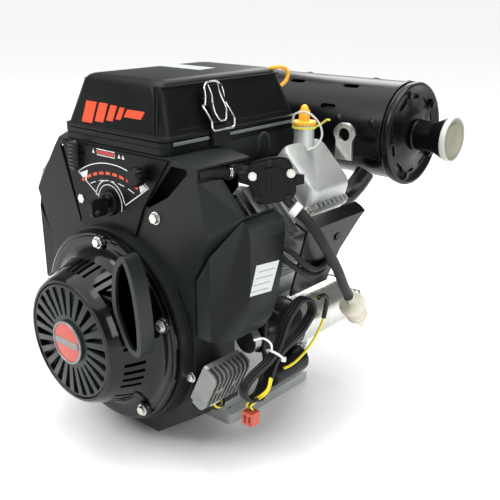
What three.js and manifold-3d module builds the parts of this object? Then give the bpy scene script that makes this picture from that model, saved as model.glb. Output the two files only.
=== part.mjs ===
// A horizontal-shaft 90 degree V-twin petrol engine, with recoil and electric start, a box air cleaner on top
// and a muffler lying across the back.
// Millimetres, Z up. The origin is on the base plane, below the crankshaft axis. X is the engine's width.
// Y runs along the crankshaft, from the recoil starter (-Y) to the output shaft (+Y).
import * as THREE from "three";
import { mergeVertices } from "three/addons/utils/BufferGeometryUtils.js";
import Module from "manifold-3d";

const wasm = await Module();
wasm.setup();

// Driving dimensions
const GAP = 0.4; // between pieces that touch
const CRANK_Z = 151; // base to crankshaft axis
const BANK_ANGLE = Math.PI / 4; // each cylinder from the vertical
const RIGHT_BANK_Y = 40;
const LEFT_BANK_Y = 12;
const BORE_RADIUS = 41.5;
const CRANK_THROW = 35;
const ROD_LENGTH = 112;
const PIN_RADIUS = 19; // crankpin
const DECK = 92; // crankshaft axis to the foot of a barrel
const HEAD = 184; // ... to the foot of a cylinder head
const VALVE_COVER = 226; // ... to the foot of a valve cover
const CASE_FRONT = -62; // crankcase along Y
const CASE_REAR = 96;
const PTO_FACE = 135; // flat end of the output side
const SHAFT_END = 225;
const SHAFT_RADIUS = 14.3;
const HOUSING_FRONT = -150; // flat front of the blower housing
const HOUSING_BEND = -122; // where its bevelled front meets its side walls
const HOUSING_REAR = -66;
const COLLAR_FRONT = -163; // ring that the recoil starter bolts to
const COLLAR_RADIUS = 128;
const RECOIL_FRONT = -228;
const RECOIL_RADIUS = 124;
const WALL = 3; // moulded covers
const CLEANER = { low: 392, top: 455.5, front: -145, rear: 92, half: 91.5, draft: 14, topHalf: 67 };
const MUFFLER = { y: 189, z: 370, radius: 62, left: -120, right: 205 };
const STARTER = { x: 140, z: 138, radius: 35, front: -50, rear: 125 };
const STARTER_NOSE = 20; // notch in the blower housing that the pinion reaches the ring gear through
const CAM_Z = CRANK_Z + 67.5;
const CAM_GEAR_RADIUS = 44;

// Materials
const paint = (color, roughness, metalness = 0) =>
  new THREE.MeshStandardMaterial({ color, roughness, metalness });
const castAluminium = paint(0xb9bcb9, 0.5, 0.9);
const machinedSteel = paint(0x9a9da0, 0.3, 1);
const zincSteel = paint(0xb8bbb4, 0.25, 1);
const blackPlastic = paint(0x1d1f20, 0.55);
const glossBlack = paint(0x0a0a0b, 0.12);
const blackEnamel = paint(0x111212, 0.3, 0.4);
const blackRubber = paint(0x161616, 0.75);
const greyPlastic = paint(0x5b5f5d, 0.6);
const filterPaper = paint(0xd8cfa8, 0.9);
const clearPlastic = paint(0xe9e5cf, 0.4);
const orangePlastic = paint(0xf0a81c, 0.45);
const yellowWire = paint(0xf2e01e, 0.45);
const redPlastic = paint(0xd2543f, 0.5);

const engine = new THREE.Group();

// A mirroring side: +1 is the right bank, -1 the left one.
const SIDES = [
  { name: "right", side: 1, y: RIGHT_BANK_Y },
  { name: "left", side: -1, y: LEFT_BANK_Y },
];
const BANKS = Object.fromEntries(
  SIDES.map(({ name, side, y }) => {
    const bank = new THREE.Group();
    bank.position.set(0, y, CRANK_Z);
    bank.rotation.y = side * BANK_ANGLE;
    engine.add(bank);
    return [name, bank];
  }),
);

// --- shapes ----------------------------------------------------------------------------------------------

// Turns a closed three.js geometry into a solid whose faces point out.
function closed(geometry) {
  const bare = geometry.clone();
  bare.deleteAttribute("normal");
  bare.deleteAttribute("uv");
  const merged = mergeVertices(bare, 1e-4);
  const corners = merged.index.array;
  const faces = [];
  for (let i = 0; i < corners.length; i += 3) {
    const [a, b, c] = [corners[i], corners[i + 1], corners[i + 2]];
    if (a !== b && b !== c && c !== a) faces.push([a, b, c]);
  }
  const build = (list) =>
    new wasm.Manifold(
      new wasm.Mesh({
        numProp: 3,
        vertProperties: merged.attributes.position.array,
        triVerts: new Uint32Array(list.flat()),
      }),
    );
  const body = build(faces);
  return body.volume() > 0 ? body : build(faces.map(([a, b, c]) => [a, c, b]));
}

const join = (...solids) => solids.flat().reduce((all, one) => all.add(one));
const cut = (solid, ...tools) => tools.flat().reduce((rest, tool) => rest.subtract(tool), solid);

function add(name, solid, material, parent = engine) {
  const made = solid.getMesh();
  const geometry = new THREE.BufferGeometry();
  geometry.setAttribute("position", new THREE.BufferAttribute(made.vertProperties, made.numProp));
  geometry.setIndex(new THREE.BufferAttribute(made.triVerts, 1));
  geometry.computeVertexNormals();
  const mesh = new THREE.Mesh(geometry, material);
  mesh.name = name;
  parent.add(mesh);
  return mesh;
}

// An outline lies in the plane across its axis: (y, z) for x, (x, z) for y and (x, y) for z.
const [X, Y, Z] = [new THREE.Vector3(1, 0, 0), new THREE.Vector3(0, 1, 0), new THREE.Vector3(0, 0, 1)];
const FRAMES = { x: [Y, Z, X], y: [Z, X, Y], z: [X, Y, Z] };

function flat(outline, axis) {
  return outline.map(([a, b]) => (axis === "y" ? new THREE.Vector2(b, a) : new THREE.Vector2(a, b)));
}

// A prism of an outline. With an end outline of as many points, its sides run from one to the other.
function prism(outline, axis, from, to, { holes = [], end = null } = {}) {
  const start = flat(outline, axis);
  const anticlockwise = THREE.ShapeUtils.isClockWise(start) ? [...start].reverse() : start;
  const shape = new THREE.Shape(anticlockwise);
  holes.forEach((hole) => shape.holes.push(new THREE.Path(flat(hole, axis))));
  const geometry = new THREE.ExtrudeGeometry(shape, { depth: to - from, bevelEnabled: false });
  if (end) {
    const finish = flat(end, axis);
    const place = geometry.attributes.position;
    for (let i = 0; i < place.count; i++) {
      if (place.getZ(i) < (to - from) / 2) continue;
      const here = new THREE.Vector2(place.getX(i), place.getY(i));
      const which = start.findIndex((point) => point.distanceTo(here) < 1e-4);
      place.setXY(i, finish[which].x, finish[which].y);
    }
  }
  geometry.translate(0, 0, from);
  geometry.applyMatrix4(new THREE.Matrix4().makeBasis(...FRAMES[axis]));
  return closed(geometry);
}

function circle(a, b, radius, sides = 24) {
  return Array.from({ length: sides }, (_, i) => {
    const angle = (2 * Math.PI * (i + 0.5)) / sides;
    return [a + radius * Math.cos(angle), b + radius * Math.sin(angle)];
  });
}

const disc = (axis, radius, from, to, [a, b] = [0, 0], sides = 24) =>
  prism(circle(a, b, radius, sides), axis, from, to);

function rectangle(a0, a1, b0, b1, corner = 0) {
  if (!corner) return [[a0, b0], [a1, b0], [a1, b1], [a0, b1]];
  const centres = [[a1 - corner, b1 - corner], [a0 + corner, b1 - corner],
    [a0 + corner, b0 + corner], [a1 - corner, b0 + corner]];
  return centres.flatMap(([a, b], quarter) =>
    [0, 1, 2, 3].map((step) => {
      const angle = ((quarter + step / 3) * Math.PI) / 2;
      return [a + corner * Math.cos(angle), b + corner * Math.sin(angle)];
    }),
  );
}

const box = (x0, x1, y0, y1, z0, z1) => prism(rectangle(x0, x1, y0, y1), "z", z0, z1);

// A turned piece. Its profile is [radius, place along the axis] and starts and ends on the axis or closes.
function turned(profile, axis, [a, b] = [0, 0], sides = 28) {
  const points = profile.map(([radius, along]) => new THREE.Vector2(radius, along));
  const geometry = new THREE.LatheGeometry(points, sides);
  if (axis === "x") geometry.rotateZ(-Math.PI / 2).translate(0, a, b);
  if (axis === "y") geometry.translate(a, 0, b);
  if (axis === "z") geometry.rotateX(Math.PI / 2).translate(a, b, 0);
  return closed(geometry);
}

const loop = (profile) => [...profile, profile[0]];

function tube(points, radius, sides = 10, steps = 24) {
  const path = new THREE.CatmullRomCurve3(points.map((point) => new THREE.Vector3(...point)));
  const section = new THREE.Shape(flat(circle(0, 0, radius, sides), "z"));
  return closed(new THREE.ExtrudeGeometry(section, { extrudePath: path, steps, bevelEnabled: false }));
}

// A straight round bar between two points.
function bar(from, to, radius, sides = 10) {
  const path = new THREE.LineCurve3(new THREE.Vector3(...from), new THREE.Vector3(...to));
  const section = new THREE.Shape(flat(circle(0, 0, radius, sides), "z"));
  return closed(new THREE.ExtrudeGeometry(section, { extrudePath: path, steps: 1, bevelEnabled: false }));
}

// The half outline's points, followed by their mirror images across the middle.
const mirrored = (half) => [...half, ...half.map(([a, b]) => [-a, b]).reverse()];

// An outline moved inwards by a wall's thickness; its points run anticlockwise.
function inset(outline, wall) {
  const count = outline.length;
  const edge = (i) => {
    const [p, q] = [outline[i % count], outline[(i + 1) % count]];
    const length = Math.hypot(q[0] - p[0], q[1] - p[1]);
    const along = [(q[0] - p[0]) / length, (q[1] - p[1]) / length];
    return { point: [p[0] - along[1] * wall, p[1] + along[0] * wall], along };
  };
  return outline.map((_, i) => {
    const [before, after] = [edge(i + count - 1), edge(i)];
    const cross = before.along[0] * after.along[1] - before.along[1] * after.along[0];
    if (Math.abs(cross) < 1e-6) return after.point;
    const [dx, dy] = [after.point[0] - before.point[0], after.point[1] - before.point[1]];
    const step = (dx * after.along[1] - dy * after.along[0]) / cross;
    return [before.point[0] + before.along[0] * step, before.point[1] + before.along[1] * step];
  });
}

const around = (count, make, start = 0) =>
  Array.from({ length: count }, (_, i) => make(start + (2 * Math.PI * i) / count, i));

// Turns a solid about the crankshaft axis.
function spun(solid, angle) {
  return solid
    .translate([0, 0, -CRANK_Z])
    .rotate([0, (-angle * 180) / Math.PI, 0])
    .translate([0, 0, CRANK_Z]);
}

// --- crankcase -------------------------------------------------------------------------------------------

const caseOutline = mirrored([[92, 12], [100, 70], [101.8, 179.3], [28.3, 252.8], [8, 256]]);

function crankcase() {
  const base = prism(rectangle(-108, 108, CASE_FRONT, 112, 8), "z", 0, 14);
  const boltHoles = [[88, -46], [88, 92], [-88, -46], [-88, 92]].map((at) => disc("z", 5.5, -1, 15, at, 12));
  const body = prism(caseOutline, "y", CASE_FRONT, CASE_REAR);
  const hollow = prism(inset(caseOutline, 8), "y", CASE_FRONT + 10, CASE_REAR + 1);
  const bearing = disc("y", 22, CASE_FRONT - 1, CASE_FRONT + 12, [0, CRANK_Z]);
  const barrelHoles = SIDES.map(({ side, y }) =>
    disc("z", BORE_RADIUS + 4, 60, DECK + 2, [0, 0], 16)
      .rotate([0, (side * BANK_ANGLE * 180) / Math.PI, 0])
      .translate([0, y, CRANK_Z]),
  );
  add("crankcase", cut(join(base, body), hollow, bearing, barrelHoles, boltHoles), castAluminium);
}

function crankcaseCover() {
  const outline = mirrored([[92, 16], [100, 70], [101.8, 179.3], [56, 245], [34, 272]]);
  const front = CASE_REAR + GAP;
  const shell = prism(outline, "y", front, 120);
  const boss = disc("y", 62, 115, PTO_FACE, [0, CRANK_Z], 32);
  const hollow = prism(inset(outline, 8), "y", front - 1, 113);
  const shaftHole = disc("y", SHAFT_RADIUS + 2, 110, PTO_FACE + 1, [0, CRANK_Z]);
  const camBoss = disc("y", 20, 108, 116, [0, CAM_Z]);
  const threads = around(4, (angle) =>
    disc("y", 4.2, PTO_FACE - 12, PTO_FACE + 1,
      [50 * Math.cos(angle), CRANK_Z + 50 * Math.sin(angle)], 10), Math.PI / 4);
  add("crankcase_cover", cut(join(cut(shell, hollow), boss, camBoss), shaftHole, threads), castAluminium);
}

// --- crank train -----------------------------------------------------------------------------------------

// The crankpin stands on the right cylinder's axis, so that piston is at the top of its stroke.
const PIN_AT = [CRANK_THROW * Math.SQRT1_2, CRANK_Z + CRANK_THROW * Math.SQRT1_2];
const WEBS = { front: [-21, -1], rear: [52.4, 72] };

function crankshaft() {
  const axis = [0, CRANK_Z];
  const front = turned([[0, -168], [9, -168], [9, -146], [14, -112], [17, CASE_FRONT - 4],
    [20, CASE_FRONT], [20, WEBS.front[0]], [56, WEBS.front[0]], [56, WEBS.front[1]],
    [0, WEBS.front[1]]], "y", axis, 20);
  const rear = turned([[0, WEBS.rear[0]], [56, WEBS.rear[0]], [56, WEBS.rear[1]], [22, WEBS.rear[1]],
    [22, 99], [21, 99], [21, 109], [SHAFT_RADIUS, 110], [SHAFT_RADIUS, SHAFT_END - 2],
    [SHAFT_RADIUS - 2, SHAFT_END], [0, SHAFT_END]], "y", axis, 20);
  const keyway = box(-3.2, 3.2, 150, SHAFT_END + 1, CRANK_Z + SHAFT_RADIUS - 4, CRANK_Z + 30);
  add("crankshaft_front", front, machinedSteel);
  add("crankshaft_rear", cut(rear, keyway), machinedSteel);
  add("crankpin", disc("y", PIN_RADIUS, WEBS.front[1] + GAP, WEBS.rear[0] - GAP, PIN_AT), machinedSteel);
}

function camshaft() {
  const at = [0, CAM_Z];
  const shaft = disc("y", 8, -50, 106, at, 12);
  const gear = disc("y", CAM_GEAR_RADIUS, 99, 105, at, 28);
  const lobes = [-40, 82].map((y) => disc("y", 11, y, y + 10, [2, CAM_Z - 1], 12));
  add("camshaft", join(shaft, gear, lobes), machinedSteel);
}

// In a bank's own frame the cylinder axis is Z, and a point across it is (x, y).
function pistonHeight(side) {
  const along = (CRANK_THROW * (1 + side)) / 2;
  const across = (CRANK_THROW * (1 - side)) / 2;
  return along + Math.sqrt(ROD_LENGTH ** 2 - across ** 2);
}

function piston({ name, side }) {
  const pin = pistonHeight(side);
  const wall = BORE_RADIUS - GAP;
  const groove = (rise) => [[wall, rise], [wall - 2, rise], [wall - 2, rise + 2], [wall, rise + 2]];
  const profile = [[0, 18], [wall - 6, 18], [wall - 6, -26], [wall, -26], ...groove(17), [wall, 26], [0, 26]]
    .map(([radius, rise]) => [radius, pin + rise]);
  const wristPin = disc("y", 9, -wall + 2, wall - 2, [0, pin], 12);
  add("piston_" + name, join(turned(profile, "z", [0, 0], 18), wristPin), castAluminium, BANKS[name]);
}

function connectingRod({ name, side, y }) {
  const reach = pistonHeight(side) * Math.SQRT1_2;
  const small = [side * reach, CRANK_Z + reach];
  const [across, up] = [small[0] - PIN_AT[0], small[1] - PIN_AT[1]];
  const length = Math.hypot(across, up);
  const beamSide = ([px, pz], half) => [[px - (up / length) * half, pz + (across / length) * half],
    [px + (up / length) * half, pz - (across / length) * half]];
  const [a, b] = beamSide(PIN_AT, 9);
  const [c, d] = beamSide(small, 7);
  const beam = prism([a, b, d, c], "y", y - 5, y + 5);
  const bigEnd = disc("y", 28, y - 11, y + 11, PIN_AT);
  const smallEnd = disc("y", 14, y - 11, y + 11, small, 18);
  const bores = [disc("y", PIN_RADIUS + GAP, y - 12, y + 12, PIN_AT),
    disc("y", 9 + GAP, y - 12, y + 12, small, 14)];
  add("connecting_rod_" + name, cut(join(beam, bigEnd, smallEnd), bores), machinedSteel);
}

// --- cylinders and heads ---------------------------------------------------------------------------------

function cylinder({ name }) {
  const barrel = disc("z", BORE_RADIUS + 6, DECK + GAP, HEAD - GAP, [0, 0], 16);
  const spigot = disc("z", BORE_RADIUS + 2.6, 72, DECK + 2, [0, 0], 16);
  const foot = prism(rectangle(-50, 50, -48, 48), "z", DECK + GAP, DECK + 6);
  const fins = Array.from({ length: 6 }, (_, i) =>
    prism(rectangle(-56, 56, -50, 50), "z", DECK + 15 + 13 * i, DECK + 17.4 + 13 * i));
  const bore = disc("z", BORE_RADIUS + 1, 60, HEAD + 1, [0, 0], 16);
  add("cylinder_" + name, cut(join(barrel, spigot, foot, fins), bore), castAluminium, BANKS[name]);
}

const EXHAUST_PORT = { across: 16, up: HEAD + 28, radius: 9 };

// The head's low side is the one that faces out and down.
function cylinderHead({ name, side }) {
  const span = (low, high) => (side > 0 ? [low, high] : [-high, -low]);
  const block = prism(rectangle(...span(-42, 26), -42, 42), "z", HEAD + GAP, VALVE_COVER - GAP);
  const fins = [0, 1, 2].map((i) =>
    prism(rectangle(...span(-48, 34), -46, 46), "z", HEAD + 6 + 9 * i, HEAD + 8.4 + 9 * i));
  const chamber = disc("z", 34, HEAD - 1, HEAD + 8, [0, 0], 20);
  const { across, up, radius } = EXHAUST_PORT;
  const exhaustPort = disc("y", radius, 30, 60, [side * across, up], 14);
  const intakePort = disc("x", 12, -60, -30, [0, HEAD + 24], 14);
  const portSide = side > 0 ? intakePort : intakePort.mirror([1, 0, 0]);
  add("cylinder_head_" + name, cut(join(block, fins), chamber, exhaustPort, portSide), castAluminium,
    BANKS[name]);
}

const NECK = { across: -53, along: 8, radius: 13, bore: 9.5 };

function valveCover({ name, side }) {
  const span = (low, high) => (side > 0 ? [low, high] : [-high, -low]);
  const foot = rectangle(...span(-58, 28), -42, 42, 10);
  const crown = rectangle(...span(-60, 12), -39, 40, 12);
  const flange = prism(foot, "z", VALVE_COVER, VALVE_COVER + 5);
  const body = prism(inset(foot, 2), "z", VALVE_COVER + 4, VALVE_COVER + 30, { end: crown });
  const hollow = prism(inset(foot, 8), "z", VALVE_COVER - 1, VALVE_COVER + 25, { end: inset(crown, 6) });
  const outer = [flange, body];
  const inner = [hollow];
  if (side > 0) {
    const upright = (solid) =>
      solid.rotate([0, -45, 0]).translate([NECK.across, NECK.along, VALVE_COVER + 20]);
    outer.push(upright(disc("z", NECK.radius, -6, 30, [0, 0], 20)));
    inner.push(upright(disc("z", NECK.bore, -16, 31, [0, 0], 16)));
  }
  add("valve_cover_" + name, cut(join(outer), inner), castAluminium, BANKS[name]);
}

// A point of the right bank's frame, in the engine's frame.
function fromRightBank(x, y, z) {
  return [(x + z) * Math.SQRT1_2, RIGHT_BANK_Y + y, CRANK_Z + (z - x) * Math.SQRT1_2];
}

function oilFillerCap() {
  const [x, y, z] = fromRightBank(NECK.across, NECK.along, VALVE_COVER + 20);
  const seat = z + 30 + GAP;
  add("oil_filler_cap", turned([[0, seat - 34], [3, seat - 34], [4, seat - 14], [NECK.bore - 1, seat - 12],
    [NECK.bore - 1, seat], [15, seat], [15, seat + 4], [6, seat + 5], [5, seat + 22], [3, seat + 24],
    [0, seat + 24]], "z", [x, y], 20), orangePlastic);
}

// A sheet beside the fins, cut back along its cylinder's rear edge.
function cylinderBaffle({ name, side, y }) {
  const outline = [[199, 300], [217, 292], [194, 206], [191, 207], [213, 290], [197, 297]]
    .map(([x, z]) => [side * x, z]);
  const rear = [[110, 320], [110, 190], [28, 190], [28, 215], [38, 248], [62, 282], [76, 296], [76, 320]]
    .map(([along, z]) => [along + y - RIGHT_BANK_Y, z]);
  const corner = prism(rear, "x", side > 0 ? 150 : -250, side > 0 ? 250 : -150);
  add("cylinder_baffle_" + name, cut(prism(outline, "y", -46, 70 + y - LEFT_BANK_Y), corner), blackEnamel);
}

// --- blower housing, casings and control panel -----------------------------------------------------------

// The right wing keeps a square upper corner, and the left one slopes in towards the control panel.
const onLeft = (half) => half.map(([a, b]) => [-a, b]).reverse();
const frontFoot = [[64, 14.5], [124, 57], [136, 128], [136, 244], [143, 257], [158, 300]];
const sideFoot = [[64, 14.5], [126, 55], [138, 128], [138, 244], [146, 256]];
const housingFront = [...frontFoot, [145, 359], [145, 372], [118, 376],
  ...onLeft([...frontFoot, [135.4, 330.9], [112.2, 361.3], [100, 376]])];
const housingSide = [...sideFoot, [187, 320], [150, 360], [146, 372], [122, 376],
  ...onLeft([...sideFoot, [184, 317], [147, 353], [136, 368], [122, 376]])];
// Openings beside the control panel, which narrow towards the recoil starter.
const RIGHT_RECESS = [[60, 316], [66, 314], [99, 332], [132, 364], [129, 369], [106, 369]];
const LEFT_RECESS = [[-99, 366], [-90, 368], [-64, 274], [-67, 270]];

function blowerHousing() {
  const outer = join(prism(housingFront, "y", HOUSING_FRONT, HOUSING_BEND, { end: housingSide }),
    prism(housingSide, "y", HOUSING_BEND - 0.1, HOUSING_REAR),
    disc("y", COLLAR_RADIUS, COLLAR_FRONT, HOUSING_FRONT + 1, [0, CRANK_Z], 40));
  const inner = join(
    prism(inset(housingFront, WALL), "y", HOUSING_FRONT + WALL, HOUSING_BEND,
      { end: inset(housingSide, WALL) }),
    prism(inset(housingSide, WALL), "y", HOUSING_BEND - 0.1, HOUSING_REAR + 1));
  const mouth = disc("y", 102, COLLAR_FRONT - 1, HOUSING_FRONT + 10, [0, CRANK_Z], 40);
  const recesses = [RIGHT_RECESS, LEFT_RECESS].map((outline) =>
    prism(outline, "y", HOUSING_FRONT - 1, HOUSING_FRONT + 4));
  // Behind its front, each wing is open on top, and a hose channel runs under the edge of the roof.
  const wingTops = [-1, 1].flatMap((side) => {
    const reach = (x0, x1) => (side > 0 ? [x0, x1] : [-x1, -x0]);
    return [box(...reach(133, 200), HOUSING_BEND + 4, HOUSING_REAR + 6, 318.8, 370),
      box(...reach(133, 200), HOUSING_FRONT + 3, HOUSING_REAR + 6, 356, 370)];
  });
  const starterNose = disc("y", STARTER_NOSE, HOUSING_REAR - 18, HOUSING_REAR + 1,
    [STARTER.x, STARTER.z], 16);
  add("blower_housing", cut(outer, inner, mouth, recesses, wingTops, starterNose), blackPlastic);
}

function sideCasing({ name, side }) {
  const outline = [[139, 172], [176, 172], [190, 198], [192, 290], [190, 316], [186, 316], [147.8, 255],
    [139, 242]];
  const inner = [[130, 175], [174, 175], [187, 199], [189, 290], [187, 311], [150, 252], [130, 240]];
  const frontCorner = (shift) =>
    prism([[148 - shift, -160], [202 - shift, -160], [202 - shift, -106 + shift]], "z", 160, 330);
  const rearCorner = prism([[-64, 330], [-64, 316], [-56, 306], [-56, 290], [-62, 240], [-76, 172],
    [-76, 160], [-40, 160], [-40, 330]], "x", 130, 200);
  const solid = cut(prism(outline, "y", -148, -56), frontCorner(0), rearCorner);
  const hollow = cut(prism(inner, "y", -145, -40), frontCorner(4));
  const shell = cut(solid, hollow);
  add("side_casing_" + name, side > 0 ? shell : shell.mirror([1, 0, 0]), blackPlastic);
}

const PANEL_FRONT = HOUSING_FRONT - GAP - 3;
const THROTTLE = { x: -60, z: 338 };
const CHOKE = { x: 64, z: 353 };
const KEY = { x: 0, z: 309 };

function controlPanel() {
  const arc = [0, 1, 2, 3, 4, 5].map((i) => {
    const angle = ((116 - 9 * i) * Math.PI) / 180;
    return [131 * Math.cos(angle), CRANK_Z + 131 * Math.sin(angle)];
  });
  const outline = [[-89, 374], ...arc, [59, 312], [104, 374]];
  const plate = prism(outline.reverse(), "y", PANEL_FRONT, HOUSING_FRONT - GAP);
  const bezel = disc("y", 15, PANEL_FRONT - 5, PANEL_FRONT + 1, [KEY.x, KEY.z], 24);
  const leverSlot = prism(rectangle(-78, -42, 362, 367), "y", PANEL_FRONT - 1, HOUSING_FRONT + 1);
  const chokeHole = disc("y", 6, PANEL_FRONT - 1, HOUSING_FRONT + 1, [CHOKE.x, CHOKE.z], 16);
  const keyHole = disc("y", 5, PANEL_FRONT - 6, HOUSING_FRONT + 1, [KEY.x, KEY.z], 14);
  add("control_panel", cut(join(plate, bezel), leverSlot, chokeHole, keyHole), blackPlastic);
}

// Each control ends short of the housing's front, so it moves clear of it.
function controls() {
  const stem = prism(rectangle(THROTTLE.x - 2.5, THROTTLE.x + 2.5, 363, 366), "y", PANEL_FRONT - 4,
    HOUSING_FRONT - GAP - 0.3);
  const paddle = prism(rectangle(THROTTLE.x - 7, THROTTLE.x + 7, 340, 378, 4), "y", PANEL_FRONT - 13,
    PANEL_FRONT - 3);
  add("throttle_lever", join(stem, paddle), greyPlastic);
  const choke = turned([[0, PANEL_FRONT - 18], [10, PANEL_FRONT - 18], [11.5, PANEL_FRONT - 14],
    [11, PANEL_FRONT - 6], [5.5, PANEL_FRONT - 2], [5.5, HOUSING_FRONT - GAP - 0.3],
    [0, HOUSING_FRONT - GAP - 0.3]], "y", [CHOKE.x, CHOKE.z], 20);
  add("choke_knob", choke, blackPlastic);
  const blade = disc("y", 4.4, PANEL_FRONT - 8, HOUSING_FRONT - GAP - 0.3, [KEY.x, KEY.z], 12);
  const bow = prism(rectangle(KEY.x - 3, KEY.x + 3, KEY.z - 13, KEY.z + 9, 2.5), "y", PANEL_FRONT - 30,
    PANEL_FRONT - 6);
  add("ignition_key", join(blade, bow), blackPlastic);
}

// --- air cleaner -----------------------------------------------------------------------------------------

const LATCH = { x: 86, z: 424, hook: CLEANER.half + 9, low: 397 };

function airCleaner() {
  const { low, top, front, rear, half, draft, topHalf } = CLEANER;
  const roof = low - 1;
  const seat = rectangle(-half - 2, half + 2, front - 2, rear, 12);
  const tray = prism(seat, "z", 377, roof);
  const skirt = prism(rectangle(-half - 3, half + 3, -60, rear, 6), "z", 350, 380);
  const under = prism(rectangle(-half, half, -57, rear - 3, 6), "z", 349, roof - 5);
  const frontUnder = prism(rectangle(-half + 2, half - 2, front + 3, -64, 6), "z", 376, roof - 5);
  const throat = disc("z", 22, roof - 6, roof + 1, [0, 26], 24);
  const catches = [-1, 1].flatMap((side) => {
    const hookOver = (near, far, z0, z1) =>
      box(Math.min(side * near, side * far), Math.max(side * near, side * far), -74, -46, z0, z1);
    return [hookOver(half + 1, half + 7, 378, roof - 2), hookOver(half + 3, half + 7, 386, LATCH.low + 5)];
  });
  add("air_cleaner_base", cut(join(tray, skirt, catches), under, frontUnder, throat), blackPlastic);

  const ringOuter = rectangle(-62, 62, -118, 66, 14);
  add("filter_element", prism(ringOuter, "z", roof + GAP, 438, { holes: [inset(ringOuter, 24)] }), filterPaper);

  const foot = rectangle(-half, half, front, rear, 14);
  const crown = rectangle(-topHalf, topHalf, front + draft, rear - draft, 14);
  const rim = prism(rectangle(-half - 2, half + 2, front - 2, rear, 12), "z", low - GAP, low + 4);
  const shell = prism(foot, "z", low, top, { end: crown });
  const hollow = prism(inset(foot, WALL), "z", low - 1, top - WALL, { end: inset(crown, WALL) });
  const lugs = [-1, 1].map((side) =>
    cut(box(side > 0 ? 76 : -LATCH.x - 3, side > 0 ? LATCH.x + 3 : -76, -70, -50, LATCH.z - 6, LATCH.z + 5),
      disc("y", 2, -71, -49, [side * LATCH.x, LATCH.z], 8)));
  add("air_cleaner_cover", join(cut(join(rim, shell), hollow), lugs), blackPlastic);
}

// A wire bail that turns in a lug of the cover. Its lower bar snaps over the tray's catch.
function latch({ name, side }) {
  const wire = (from, to) => bar([side * from[0], from[1], from[2]], [side * to[0], to[1], to[2]], 1.5, 6);
  const { x, z } = LATCH;
  const sides = [-79, -41].flatMap((y) => [
    wire([x, y, z + 1], [LATCH.hook, y, z - 18]),
    wire([LATCH.hook, y, z - 17], [LATCH.hook, y, LATCH.low - 1]),
  ]);
  const across = [wire([x, -80, z], [x, -40, z]),
    wire([LATCH.hook, -80, LATCH.low], [LATCH.hook, -40, LATCH.low])];
  add("latch_" + name, join(across, sides), zincSteel);
}

// --- fuel system -----------------------------------------------------------------------------------------

function carburettor() {
  const body = box(-22, 22, -6, 48, 346, 364);
  const throat = disc("z", 19, 346, 384, [0, 26], 20);
  const bowl = disc("z", 17, 326, 362, [0, -18], 16);
  const passage = disc("z", 14, 345, 385, [0, 26], 16);
  add("carburettor", cut(join(body, throat, bowl), passage), castAluminium);
}

// A box below the carburettor, with an arm out to each intake port.
function intakeManifold() {
  const arms = SIDES.map(({ side, y }) => {
    const [up, across] = [HEAD + 24, -49.5];
    const port = [side * (up + across) * Math.SQRT1_2, y, CRANK_Z + (up - across) * Math.SQRT1_2];
    const [x, , z] = port;
    return tube([port, [x - side * 7, y, z + 5], [x - side * 22, y, z + 4], [side * 50, y, 334], [0, y, 334]],
      10, 10, 8);
  });
  const plenum = box(-24, 24, 2, 50, 324, 345.5);
  const well = disc("z", 14, 330, 346, [0, 26], 16);
  add("intake_manifold", cut(join(arms, plenum), well), castAluminium);
}

const PUMP = { at: [177, -62, 351], turn: 0.66 };

function fuelPump() {
  const body = join(
    prism(circle(0, 0, 29, 8), "y", -12, 0),
    disc("y", 25, -20, -11.5, [0, 0], 20),
    disc("y", 21, -0.5, 9, [0, 0], 16),
    bar([10, -5, -18], [22, -4.4, -30], 4.5),
    bar([-20, -2, 0], [-37, 2, 3], 4.5));
  const group = new THREE.Group();
  group.position.set(...PUMP.at);
  group.rotation.z = PUMP.turn;
  engine.add(group);
  add("fuel_pump", body, blackPlastic, group);
}

// Hoses are soft: each keeps its own route.
const PULSE_HOSE = [[141, -145.5, 363], [140.5, -128, 363], [139.8, -112, 361], [140, -100, 358.5],
  [142.5, -90, 356]];
const FUEL_HOSE = [[199, -51, 318.6], [206, -47, 312.5], [214, -45, 306], [223, -43, 297],
  [229, -35, 281], [230, -19, 260], [227, 2, 235], [220.5, 25, 208], [215, 42, 190], [212.5, 52.4, 179.2]];
const HOSE_RADIUS = 6.2;
const FILTER = { at: [212, 55, 176], lean: 0.6 };

function hoses() {
  add("pulse_hose", tube(PULSE_HOSE, HOSE_RADIUS, 10, 6), blackRubber);
  add("fuel_hose", tube(FUEL_HOSE, HOSE_RADIUS, 10, 16), blackRubber);
  const group = new THREE.Group();
  group.position.set(...FILTER.at);
  group.rotation.x = FILTER.lean;
  engine.add(group);
  const profile = [[0, 1], [5, 1], [5, -5], [17, -6], [17, -16], [14, -18], [13, -36], [9, -42], [4, -44],
    [4, -56], [0, -56]];
  add("fuel_filter", turned(profile, "z", [0, 0], 18), clearPlastic, group);
}

// --- recoil starter --------------------------------------------------------------------------------------

const ROPE = { y: -206, z: CRANK_Z + 64, radius: 2.6 };

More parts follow.
